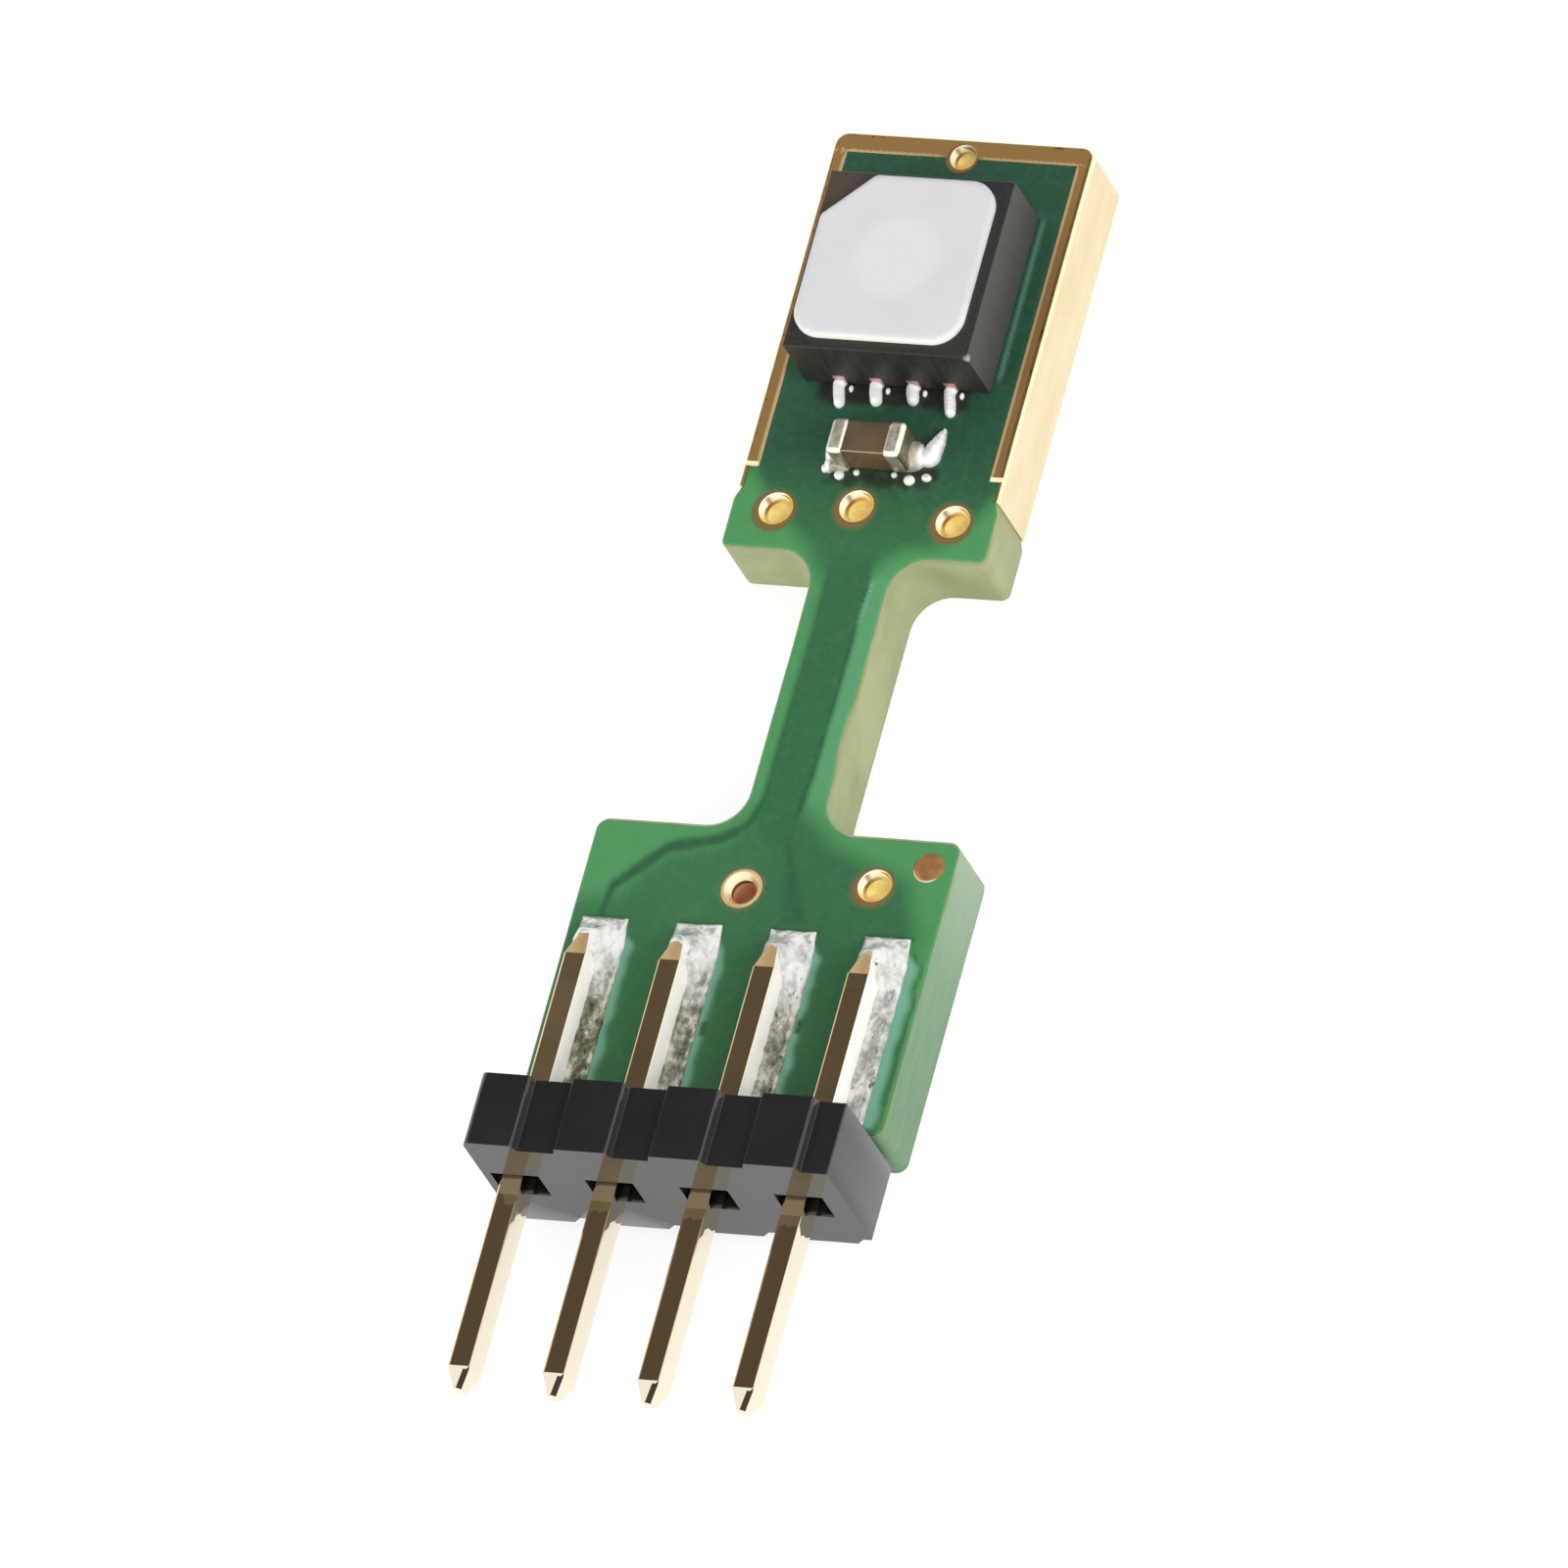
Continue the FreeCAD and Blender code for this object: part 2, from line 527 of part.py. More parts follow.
pin_hole = rectangle(
    new_sketch(header, "XZ_Plane", f"-{HEADER_FOOT}"),
    f"{FIRST_PIN} - pin_width / 2", f"{FIRST_PIN} + pin_width / 2", PIN_REAR, f"{PIN_REAR} + pin_thickness",
)
row_of(header, pocket(header, pin_hole, "header_height"), 3)
piece(header, "header_housing")

# Sensor package: terminals, mould and membrane

terminals = []
joints = []
number = 0
for side, edge in ((-1, SENSOR_FOOT), (1, SENSOR_TOP)):
    for step in STEPS:
        number += 1
        middle = f"head_shift + {step} * terminal_pitch"
        left, right = f"{middle} - terminal_width / 2", f"{middle} + terminal_width / 2"
        inner = f"{edge} - {side} * terminal_length"
        outer = f"{edge} + {side} * toe_length"
        terminal = new_body(f"Terminal{number}")
        low, high = (edge, inner) if side < 0 else (inner, edge)
        pad(terminal, rectangle(new_sketch(terminal, "XY_Plane", BOARD_TOP), left, right, low, high), "terminal_height")
        terminals.append(piece(terminal, f"sensor_terminal_{number}"))
        joint = new_body(f"Joint{number}")
        joint_sketch = outline(new_sketch(joint, "YZ_Plane", left), [
            (inner, CORE_TOP), (outer, CORE_TOP), (outer, BOARD_TOP),
            (f"{edge} + {side} * 0.36 * toe_length", f"{BOARD_TOP} + 0.36 * toe_height"),
            (edge, f"{BOARD_TOP} + toe_height"), (edge, BOARD_TOP), (inner, BOARD_TOP),
        ])
        pad(joint, joint_sketch, "terminal_width")
        joints.append(piece(joint, f"sensor_solder_{number}"))

mould = new_body("Mould")
mould_sketch = rectangle(
    new_sketch(mould, "XY_Plane", BOARD_TOP),
    "head_shift - sensor_width / 2", "head_shift + sensor_width / 2", SENSOR_FOOT, SENSOR_TOP,
)
pad(mould, mould_sketch, "sensor_height")
MOULD_TOP = f"({BOARD_TOP} + sensor_height)"
port_sketch = new_sketch(mould, "XY_Plane", MOULD_TOP)
ring_line(port_sketch, "head_shift", SENSOR_MIDDLE, "port_radius")
pocket(mould, port_sketch, "port_depth")
piece(cut_by(mould, terminals, "MouldCut"), "sensor_mould")

membrane = new_body("Membrane")
left = "head_shift + membrane_shift - sensor_width / 2 + membrane_side"
right = "head_shift + membrane_shift + sensor_width / 2 - membrane_side"
low, high = f"{SENSOR_FOOT} + membrane_rise + membrane_end", f"{SENSOR_TOP} + membrane_rise - membrane_end"
membrane_sketch = outline(new_sketch(membrane, "XY_Plane", MOULD_TOP), [
    (left, low), (right, low), (right, high), (f"{left} + membrane_chamfer", high), (left, f"{high} - membrane_chamfer"),
])
membrane_pad = pad(membrane, membrane_sketch, "membrane_thickness")
round_corners(membrane, membrane_pad, membrane_sketch, (0, 1, 2), "membrane_radius")
piece(membrane, "sensor_membrane")

# Capacitor: ceramic block, two end caps and their solder

CAPACITOR_LEFT = f"({CAPACITOR_X} - capacitor_length / 2)"
CAPACITOR_RIGHT = f"({CAPACITOR_X} + capacitor_length / 2)"
CAPACITOR_FOOT = f"({CAPACITOR_Y} - capacitor_width / 2)"
CAPACITOR_TOP = f"({CAPACITOR_Y} + capacitor_width / 2)"
ceramic = new_body("Ceramic")
pad(ceramic, rectangle(
    new_sketch(ceramic, "XY_Plane", f"{BOARD_TOP} + cap_skin"),
    f"{CAPACITOR_LEFT} + cap_skin", f"{CAPACITOR_RIGHT} - cap_skin",
    f"{CAPACITOR_FOOT} + cap_skin", f"{CAPACITOR_TOP} - cap_skin",
), "capacitor_height - 2 * cap_skin")
piece(ceramic, "capacitor_ceramic")
ENDS = [
    ("left", CAPACITOR_LEFT, f"{CAPACITOR_LEFT} + cap_length", f"{CAPACITOR_LEFT} - left_fillet_run", "left_fillet_height"),
    ("right", f"{CAPACITOR_RIGHT} - cap_length", CAPACITOR_RIGHT, f"{CAPACITOR_RIGHT} + right_fillet_run", "right_fillet_height"),
]
for side, left, right, toe, height in ENDS:
    cap = new_body("Cap" + side.title())
    pad(cap, rectangle(new_sketch(cap, "XY_Plane", BOARD_TOP), left, right, CAPACITOR_FOOT, CAPACITOR_TOP), "capacitor_height")
    piece(cut_by(cap, [ceramic], "EndCap" + side.title()), f"capacitor_cap_{side}")
    fillet = new_body("CapacitorSolder" + side.title())
    face, inner = (left, right) if side == "left" else (right, left)
    pad(fillet, outline(new_sketch(fillet, "XZ_Plane", f"-{CAPACITOR_TOP}"), [
        (inner, CORE_TOP), (toe, CORE_TOP), (toe, f"{BOARD_TOP} + 0.1 * {height}"),
        (face, f"{BOARD_TOP} + {height}"), (face, BOARD_TOP), (inner, BOARD_TOP),
    ]), "capacitor_width")
    if side == "right":
        horn_low = outline(new_sketch(fillet, "XZ_Plane", f"-{CAPACITOR_TOP}"), [
            (face, CORE_TOP), (toe, CORE_TOP), (toe, f"{BOARD_TOP} + 0.1 * {height}"), (face, f"{BOARD_TOP} + {height}"),
        ])
        horn_top = outline(new_sketch(fillet, "XZ_Plane", f"-{CAPACITOR_TOP} - horn_rise"), [
            (f"{toe} - 0.12 * right_fillet_run", CORE_TOP), (toe, CORE_TOP),
            (toe, f"{BOARD_TOP} + 0.1 * {height}"), (f"{toe} - 0.12 * right_fillet_run", f"{BOARD_TOP} + 0.2 * {height}"),
        ])
        loft(fillet, horn_low, horn_top)
    joints.append(piece(fillet, f"capacitor_solder_{side}"))

# Copper below the front mask

copper = new_body("Copper")
pour_left, pour_right = f"{HEAD_LEFT} + side_band + pour_margin", f"{HEAD_RIGHT} - side_band - pour_margin"
lane_left, lane_right = "neck_shift - neck_copper / 2", "neck_shift + neck_copper / 2"
LAST_PAD = "(pad_shift + 1.5 * pin_pitch)"
copper_sketch = outline(new_sketch(copper, "XY_Plane", CORE_TOP), [
    (lane_left, PAD_TOP), (f"{LAST_PAD} + pad_width / 2", PAD_TOP),
    (f"{LAST_PAD} + pad_width / 2", f"{BASE_TOP} - base_right_via_drop + ring_radius"),
    (lane_right, f"{BASE_TOP} - mask_margin"), (lane_right, HEAD_FOOT),
    (pour_right, f"{HEAD_FOOT} + right_via_rise - ring_radius"), (pour_right, f"{HEAD_TOP} - tip_band - pour_margin"),
    (pour_left, f"{HEAD_TOP} - tip_band - pour_margin"), (pour_left, f"{HEAD_FOOT} + left_via_rise + ring_radius"),
    ("head_shift - left_via_offset + via_radius + ring_radius", f"{HEAD_FOOT} + left_via_rise"), (lane_left, HEAD_FOOT),
])
pad(copper, copper_sketch, "copper_thickness")
piece(cut_by(copper, windows + joints + [dot], "FrontCopper"), "ground_copper")

trace = new_body("Trace")
FIRST_PAD = "(pad_shift - 1.5 * pin_pitch)"
trace_sketch = outline(new_sketch(trace, "XY_Plane", CORE_TOP), [
    (f"{FIRST_PAD} - trace_width / 2", PAD_TOP), (f"{FIRST_PAD} + trace_width / 2", PAD_TOP),
    (f"{FIRST_PAD} + trace_width / 2", f"{PAD_TOP} + 0.15"), (f"{FIRST_PAD} + 0.7", f"{BASE_TOP} - 0.47"),
    ("neck_shift - neck_width / 2 - 0.05", f"{BASE_TOP} - 0.25"), (f"{lane_left} - trace_width / 2", f"{BASE_TOP} - 0.05"),
    (f"{lane_left} - trace_width / 2", f"{BASE_TOP} + neck_radius"),
    (f"{lane_left} - 1.3 * trace_width", f"{BASE_TOP} + neck_radius"),
    (f"{lane_left} - 1.3 * trace_width", f"{BASE_TOP} + 0.05"),
    ("neck_shift - neck_width / 2 - 0.1", f"{BASE_TOP} - 0.05"), (f"{FIRST_PAD} + 0.6", f"{BASE_TOP} - 0.27"),
    (f"{FIRST_PAD} - trace_width / 2", f"{PAD_TOP} + 0.25"),
])
pad(trace, trace_sketch, "copper_thickness")
piece(trace, "data_trace")

# Solder mask on both faces

openings = windows + joints + pads + [dot]
front_mask = cut_by(mask_sheet("FrontSheet", CORE_TOP), openings + [copper, trace], "FrontMask")
piece(front_mask, "solder_mask_front")
piece(cut_by(mask_sheet("RearSheet", "0"), windows, "RearMask"), "solder_mask_rear")

# Check everything, then write one file for each sub-part

doc.recompute()
for thing in doc.Objects:
    if "Invalid" in thing.State or "Error" in thing.State:
        raise ValueError(f"{thing.Label} failed: {thing.State}")
for thing in pieces:
    if thing.Shape.isNull() or not thing.Shape.isValid():
        raise ValueError(f"{thing.Label} has no valid shape")
    if len(thing.Shape.Solids) != 1:
        raise ValueError(f"{thing.Label} holds {len(thing.Shape.Solids)} solids")

os.makedirs("parts", exist_ok=True)
for thing in pieces:
    thing.Shape.exportStep(f"parts/{thing.Label}.step")
print(len(pieces), "sub-parts written")
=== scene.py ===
"""Looks of a small temperature and humidity sensor module.

A dumbbell-shaped circuit board lies on its rear face, with a packaged sensor on its head and a pin
header soldered along its lower edge. Lengths are millimetres until a piece is settled.
Frame: X across the board, Y from the pins to the sensor end, Z out of the component side.
"""

import logging
import math
from collections.abc import Callable, Sequence
from dataclasses import dataclass, field
from enum import StrEnum

import bmesh
import bpy
import numpy as np
from mathutils import Matrix, Vector, geometry, noise


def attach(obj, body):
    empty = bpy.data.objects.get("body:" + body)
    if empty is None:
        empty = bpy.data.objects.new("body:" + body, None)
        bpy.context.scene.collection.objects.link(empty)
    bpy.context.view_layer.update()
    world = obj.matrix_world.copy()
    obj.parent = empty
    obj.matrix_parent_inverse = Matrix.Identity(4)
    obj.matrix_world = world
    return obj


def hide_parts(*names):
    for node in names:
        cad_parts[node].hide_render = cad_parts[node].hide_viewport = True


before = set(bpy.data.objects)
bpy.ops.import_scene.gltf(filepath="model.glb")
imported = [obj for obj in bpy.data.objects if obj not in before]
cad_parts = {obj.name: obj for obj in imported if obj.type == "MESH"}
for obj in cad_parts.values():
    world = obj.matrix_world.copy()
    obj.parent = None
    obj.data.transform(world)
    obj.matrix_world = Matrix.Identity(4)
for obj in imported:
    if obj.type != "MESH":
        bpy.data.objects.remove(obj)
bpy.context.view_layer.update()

MM = 0.001
BODY = "root"
log = logging.getLogger("sensor_module")

Thing = bpy.types.Object
Finish = bpy.types.Material
Tree = bpy.types.NodeTree
Socket = bpy.types.NodeSocket
Spot = tuple[float, ...]
# A Measure turns points, one a row, into numbers. A Rule turns a face's centre and normal into one.
Measure = Callable[[np.ndarray], np.ndarray]
Rule = Callable[[Vector, Vector], float]


class Slot(StrEnum):
    """Names of the material slots, one of which is passed with each piece."""

    BOARD = "glass_epoxy"
    MASK = "green_mask"
    PLATING = "gold_plating"
    COPPER = "bare_copper"
    PIN = "gold_pin"
    SOLDER = "solder"
    HEADER = "header_plastic"
    MOULD = "mould_compound"
    FILM = "membrane"
    CERAMIC = "ceramic"
    CAP = "tinned_cap"


# ---------------------------------------------------------------- shading helpers


def linear(hex_code: str) -> Spot:
    """Turns an sRGB hex colour into linear light.

    Args:
        hex_code: Colour such as "#3e7a50".

    Returns:
        Red, green, blue and alpha.
    """
    parts = [int(hex_code[place:place + 2], 16) / 255 for place in (1, 3, 5)]
    light = [part / 12.92 if part <= 0.04045 else ((part + 0.055) / 1.055) ** 2.4 for part in parts]
    return (*light, 1.0)


def feed(tree: Tree, socket: Socket, value: object) -> None:
    """Feeds a socket.

    Args:
        tree: Tree that holds the socket.
        socket: Input to feed.
        value: Another socket, a node whose first output is meant, or a plain value.
    """
    if isinstance(value, bpy.types.Node):
        value = value.outputs[0]
    if isinstance(value, Socket):
        tree.links.new(value, socket)
    else:
        socket.default_value = value


def add_node(tree: Tree, kind: str, settings: dict[str, object] | None = None,
             links: dict[str | int, object] | None = None,
             stops: Sequence[tuple[float, str]] = ()) -> bpy.types.Node:
    """Adds a node with its settings and its links.

    Args:
        tree: Tree that takes the node.
        kind: Blender's node type name.
        settings: Attributes of the node.
        links: Input name or number to what feeds it.
        stops: Position and hex colour of each stop of a colour ramp, in rising order.

    Returns:
        The new node.
    """
    node = tree.nodes.new(kind)
    for name, value in (settings or {}).items():
        setattr(node, name, value)
    for name, value in (links or {}).items():
        feed(tree, node.inputs[name], value)
    if stops:
        elements = node.color_ramp.elements
        while len(elements) < len(stops):
            elements.new(0.5)
        for element, (place, colour) in zip(elements, stops):
            element.position = place
            element.color = linear(colour)
    return node


def between(low: float, high: float, start: float = 0.3, end: float = 0.7) -> dict[str, float]:
    """Gives the limits of a Map Range node: `low` where its value is `start`, `high` at `end`."""
    return {"From Min": start, "From Max": end, "To Min": low, "To Max": high}


class Bench:
    """A new material with its shader, its base colour so far and its patterns."""

    def __init__(self, name: str) -> None:
        """Makes the material's shader.

        Args:
            name: Plain name of the real material and how it was made.
        """
        self.material = bpy.data.materials.new(name)
        self.material.use_nodes = True
        self.tree = self.material.node_tree
        self.tree.nodes.clear()
        self.shader = add_node(self.tree, "ShaderNodeBsdfPrincipled")
        add_node(self.tree, "ShaderNodeOutputMaterial", {}, {"Surface": self.shader})
        self.place = add_node(self.tree, "ShaderNodeTexCoord").outputs["Object"]
        self.body: object = None

    def grain(self, size: float, detail: float = 3.0, stretch: Spot = (1, 1, 1),
              roughness: float = 0.55) -> bpy.types.Node:
        """Adds a noise pattern with a real cell size.

        Args:
            size: Cell size in millimetres.
            detail: Octaves.
            stretch: How much longer the cells are along X, Y and Z.
            roughness: Weight of the finer octaves.

        Returns:
            The noise node.
        """
        mapped = add_node(self.tree, "ShaderNodeMapping", {}, {
            "Vector": self.place, "Scale": tuple(1 / part for part in stretch)})
        return add_node(self.tree, "ShaderNodeTexNoise", {}, {
            "Vector": mapped, "Scale": 1.0 / (size * MM), "Detail": detail, "Roughness": roughness})

    def lay(self, where: object, colour: object) -> None:
        """Lays a colour over the base.

        Args:
            where: Name of a number on the mesh, or a factor from 0 to 1.
            colour: Hex code or socket.
        """
        if isinstance(where, str):
            where = add_node(self.tree, "ShaderNodeAttribute", {"attribute_name": where}).outputs["Fac"]
        mixed = add_node(self.tree, "ShaderNodeMix", {"data_type": "RGBA"}, {
            0: where, 6: self.body, 7: linear(colour) if isinstance(colour, str) else colour})
        self.body = mixed.outputs[2]

    def bump(self, *layers: tuple[bpy.types.Node, float]) -> None:
        """Stacks bumps on the shader.

        Args:
            layers: Height and its depth in millimetres, one pair for each layer.
        """
        below: dict[str, object] = {}
        for height, depth in layers:
            node = add_node(self.tree, "ShaderNodeBump", {}, {
                "Height": height, "Distance": depth * MM, "Strength": 1.0, **below})
            below = {"Normal": node}
        feed(self.tree, self.shader.inputs["Normal"], below["Normal"])

    def wire(self, **values: object) -> Finish:
        """Sets the shader's base colour and inputs.

        Args:
            values: Input name with underscores to what feeds it.

        Returns:
            The finished material.
        """
        for name, value in ({"Base_Color": self.body} | values).items():
            feed(self.tree, self.shader.inputs[name.replace("_", " ")], value)
        return self.material


# ---------------------------------------------------------------- finishes


@dataclass(frozen=True)
class SolderMask:
    """Green photo-imaged solder mask, a semi-gloss lacquer.

    To the eye: leaf green, darker where copper lies below it, pale where it is lifted at an edge, with painted
    shadow and flux below the parts and a painted highlight on the neck.
    """

    light: str = "#489155"
    middle: str = "#367645"
    dark: str = "#225138"
    # Also the colour of a painted highlight on the neck.
    lip: str = "#78b398"
    rim: str = "#6f6a3c"
    # Colour of the painted shadow below the parts, with their flux.
    flux: str = "#211d12"
    dust: str = "#8fb59a"

    def make(self) -> Finish:
        """Returns the material, which reads the mesh's copper, lip and rim numbers and the one for painted shadow
        with flux.
        """
        bench = Bench("solder_mask_green_lacquer")
        tree = bench.tree
        cloud = bench.grain(0.9)
        under = add_node(tree, "ShaderNodeAttribute", {"attribute_name": "copper"}).outputs["Fac"]
        level = add_node(tree, "ShaderNodeMath", {"operation": "SUBTRACT"}, {0: under, 1: 0.07})
        wavy = add_node(tree, "ShaderNodeMath", {"operation": "MULTIPLY_ADD"}, {0: cloud, 1: 0.14, 2: level})
        bench.body = add_node(tree, "ShaderNodeValToRGB", {}, {"Fac": wavy}, (
            (0.0, self.light), (0.62, self.middle), (1.0, self.dark)))
        # The lip number includes a painted highlight; the last number is painted shadow with flux.
        for label, colour in (("lip", self.lip), ("rim", self.rim), ("shadow_and_flux", self.flux)):
            bench.lay(label, colour)
        bench.lay(add_node(tree, "ShaderNodeMapRange", {}, {
            "Value": bench.grain(0.08, 2.0), **between(0.0, 0.05, 0.45, 0.75)}), self.dust)
        bench.bump((bench.grain(0.14, 2.0), 0.0008), (bench.grain(0.6, 2.0), 0.004))
        rough = add_node(tree, "ShaderNodeMapRange", {}, {"Value": cloud, **between(0.36, 0.46)})
        return bench.wire(Roughness=rough, IOR=1.5, Specular_IOR_Level=0.5)


@dataclass(frozen=True)
class GlassEpoxy:
    """Glass-fibre epoxy laminate with a routed edge.

    To the eye: dull and pale, grey-green on the neck and greener on the base, with faint plies.
    """

    pale: str = "#a6ab7e"
    grey: str = "#8b946d"
    green: str = "#5f8c6a"
    moss: str = "#6d9575"
    chalk: str = "#98b099"
    ply: str = "#b4b794"
    char: str = "#8c8c4c"

    def make(self) -> Finish:
        """Returns the material, which is greener towards the pins and browner at its upper edge."""
        bench = Bench("glass_epoxy_routed_edge")
        tree = bench.tree
        axes = add_node(tree, "ShaderNodeSeparateXYZ", {}, {0: bench.place})
        along, height = axes.outputs["Y"], axes.outputs["Z"]
        plies = bench.grain(0.09, 2.0, (7, 7, 1))
        bench.body = add_node(tree, "ShaderNodeValToRGB", {}, {"Fac": bench.grain(0.9)}, (
            (0.25, self.grey), (0.6, self.pale)))
        reach = add_node(tree, "ShaderNodeMapRange", {}, {"Value": along, **between(0.0, 1.0, -0.0046, -0.0006)})
        resin = add_node(tree, "ShaderNodeValToRGB", {}, {"Fac": reach}, (
            (0.1, self.green), (0.5, self.moss), (0.95, self.chalk)))
        bench.lay(add_node(tree, "ShaderNodeMapRange", {}, {
            "Value": along, **between(0.9, 0.0, -0.0012, -0.0003)}), resin)
        bench.lay(add_node(tree, "ShaderNodeMapRange", {}, {"Value": plies, **between(0.0, 0.16)}), self.ply)
        high = add_node(tree, "ShaderNodeMapRange", {}, {"Value": height, **between(0.0, 0.7, 0.00088, 0.00094)})
        burnt = add_node(tree, "ShaderNodeMapRange", {}, {
            "Value": bench.grain(0.9, 2.0), **between(0.0, 1.0, 0.46, 0.62)})
        bench.lay(add_node(tree, "ShaderNodeMath", {"operation": "MULTIPLY"}, {0: high, 1: burnt}), self.char)
        # Single fibres are about 0.01 mm; 0.05 mm is the finest roughness that shows here.
        bench.bump((plies, 0.003), (bench.grain(0.05, 2.0), 0.0015))
        return bench.wire(Roughness=0.62, IOR=1.52)


@dataclass(frozen=True)
class Gold:
    """Thin immersion gold over nickel, or over brass on the pins.

    To the eye: a pale yellow metal that mirrors its surroundings softly, browner with wear, and pale where a sheen
    is painted, as on the pins' sides.
    """

    name: str = "immersion_gold_plating"
    pale: str = "#f3d6a2"
    deep: str = "#e2b777"
    smooth: float = 0.2
    rough: float = 0.34
    streak: Spot = (1, 1, 1)
    pit: float = 0.0012
    metal: float = 1.0
    wear_and_sheen: str = "#c9a36d"
    worn_rough: float = 0.5
    lit: str = "#fffbea"
    shade: str = "#3a2a16"
    cell: float = 0.45

    def make(self) -> Finish:
        """Returns the material, whose colour follows the mesh's numbers for wear and painted sheen, for light and
        for shade.
        """
        bench = Bench(self.name)
        tree = bench.tree
        # Nickel grains are a few micrometres; 0.05 mm is the finest that shows here.
        fine = bench.grain(0.05, 2.0, self.streak)
        wear_and_sheen, lit = (add_node(tree, "ShaderNodeAttribute", {"attribute_name": label}).outputs["Fac"]
                     for label in ("wear_and_sheen", "lit"))
        bench.body = add_node(tree, "ShaderNodeValToRGB", {}, {"Fac": bench.grain(self.cell, 3.0, self.streak)}, (
            (0.3, self.deep), (0.7, self.pale)))
        for where, colour in ((wear_and_sheen, self.wear_and_sheen), (lit, self.lit), ("shade", self.shade)):
            bench.lay(where, colour)
        metal = add_node(tree, "ShaderNodeMix", {"data_type": "FLOAT"}, {0: lit, 2: self.metal, 3: 0.0})
        polish = add_node(tree, "ShaderNodeMapRange", {}, {"Value": fine, **between(self.smooth, self.rough)})
        rough = add_node(tree, "ShaderNodeMix", {"data_type": "FLOAT"}, {0: wear_and_sheen, 2: polish, 3: self.worn_rough})
        if self.pit:
            bench.bump((fine, self.pit), (bench.grain(0.25, 2.0, self.streak), self.pit * 2))
        return bench.wire(Metallic=metal, Roughness=rough)


@dataclass(frozen=True)
class BareCopper:
    """Bare copper with a thin tarnish.

    To the eye: flat and dull, orange-brown, with a painted highlight along the lower side of its edge.
    """

    warm: str = "#c58f58"
    brown: str = "#a27040"
    cut: str = "#f3e3b4"

    def make(self) -> Finish:
        """Returns the material, which paints a highlight where the mesh's edge number is high."""
        bench = Bench("tarnished_copper_pad")
        bench.body = add_node(bench.tree, "ShaderNodeValToRGB", {}, {"Fac": bench.grain(0.12)}, (
            (0.3, self.brown), (0.7, self.warm)))
        # Painted highlight along the lower side of the edge.
        bench.lay("edge", self.cut)
        bench.bump((bench.grain(0.03, 2.0), 0.0008))
        return bench.wire(Metallic=0.55, Roughness=0.5)


@dataclass(frozen=True)
class Solder:
    """Reflowed tin solder.

    To the eye: bright silver, mottled where it froze, with dark specks of flux.
    """

    name: str = "reflowed_tin_solder"
    bright: str = "#f1f1ee"
    grey: str = "#b9b8b1"
    flux: str = "#4c463a"
    hollow: str = "#1d222c"
    flux_share: float = 0.64
    ripple: float = 0.009
    metal: float = 0.6
    aged: tuple[str, str, str] = ("#454332", "#8b8972", "#d6d3c3")

    def make(self) -> Finish:
        """Returns the material, duller and more specked where the mesh's dull number is 1."""
        bench = Bench(self.name)
        tree = bench.tree
        mottle = bench.grain(0.16, 4.0, (1, 1.5, 1), 0.65)
        spots = bench.grain(0.1, 3.0, (1, 1.6, 1))
        bench.body = add_node(tree, "ShaderNodeValToRGB", {}, {"Fac": mottle}, (
            (0.3, self.grey), (0.55, self.bright)))
        bench.lay("dull", add_node(tree, "ShaderNodeValToRGB", {}, {"Fac": mottle}, tuple(
            zip((0.36, 0.5, 0.62), self.aged))))
        bench.lay(add_node(tree, "ShaderNodeMapRange", {}, {
            "Value": spots, **between(0.0, 0.85, self.flux_share, self.flux_share + 0.06)}), self.flux)
        bench.lay("shade", self.hollow)
        bench.bump((mottle, self.ripple), (spots, self.ripple * 0.4))
        rough = add_node(tree, "ShaderNodeMapRange", {}, {"Value": spots, **between(0.25, 0.42)})
        return bench.wire(Metallic=self.metal, Roughness=rough)


@dataclass(frozen=True)
class Tin:
    """Barrel-plated tin of an end cap.

    To the eye: a soft grey metal with a pebbled skin and pale rounded edges.
    """

    grey: str = "#aca890"
    pale: str = "#e8e5d2"
    shade: str = "#5d5638"
    lit: str = "#f7f3e0"

    def make(self) -> Finish:
        """Returns the material, which reads the mesh's shade and lit numbers."""
        bench = Bench("barrel_plated_tin")
        tree = bench.tree
        # The plating's pebbles are about 0.01 mm; 0.05 mm is the finest that shows here.
        pebble = bench.grain(0.05)
        bench.body = add_node(tree, "ShaderNodeValToRGB", {}, {"Fac": bench.grain(0.09)}, (
            (0.3, self.grey), (0.7, self.pale)))
        bench.lay("shade", self.shade)
        bench.lay("lit", self.lit)
        bench.bump((pebble, 0.004))
        lit = add_node(tree, "ShaderNodeAttribute", {"attribute_name": "lit"}).outputs["Fac"]
        metal = add_node(tree, "ShaderNodeMix", {"data_type": "FLOAT"}, {0: lit, 2: 0.65, 3: 0.1})
        rough = add_node(tree, "ShaderNodeMapRange", {}, {"Value": pebble, **between(0.28, 0.42)})
        return bench.wire(Metallic=metal, Roughness=rough)


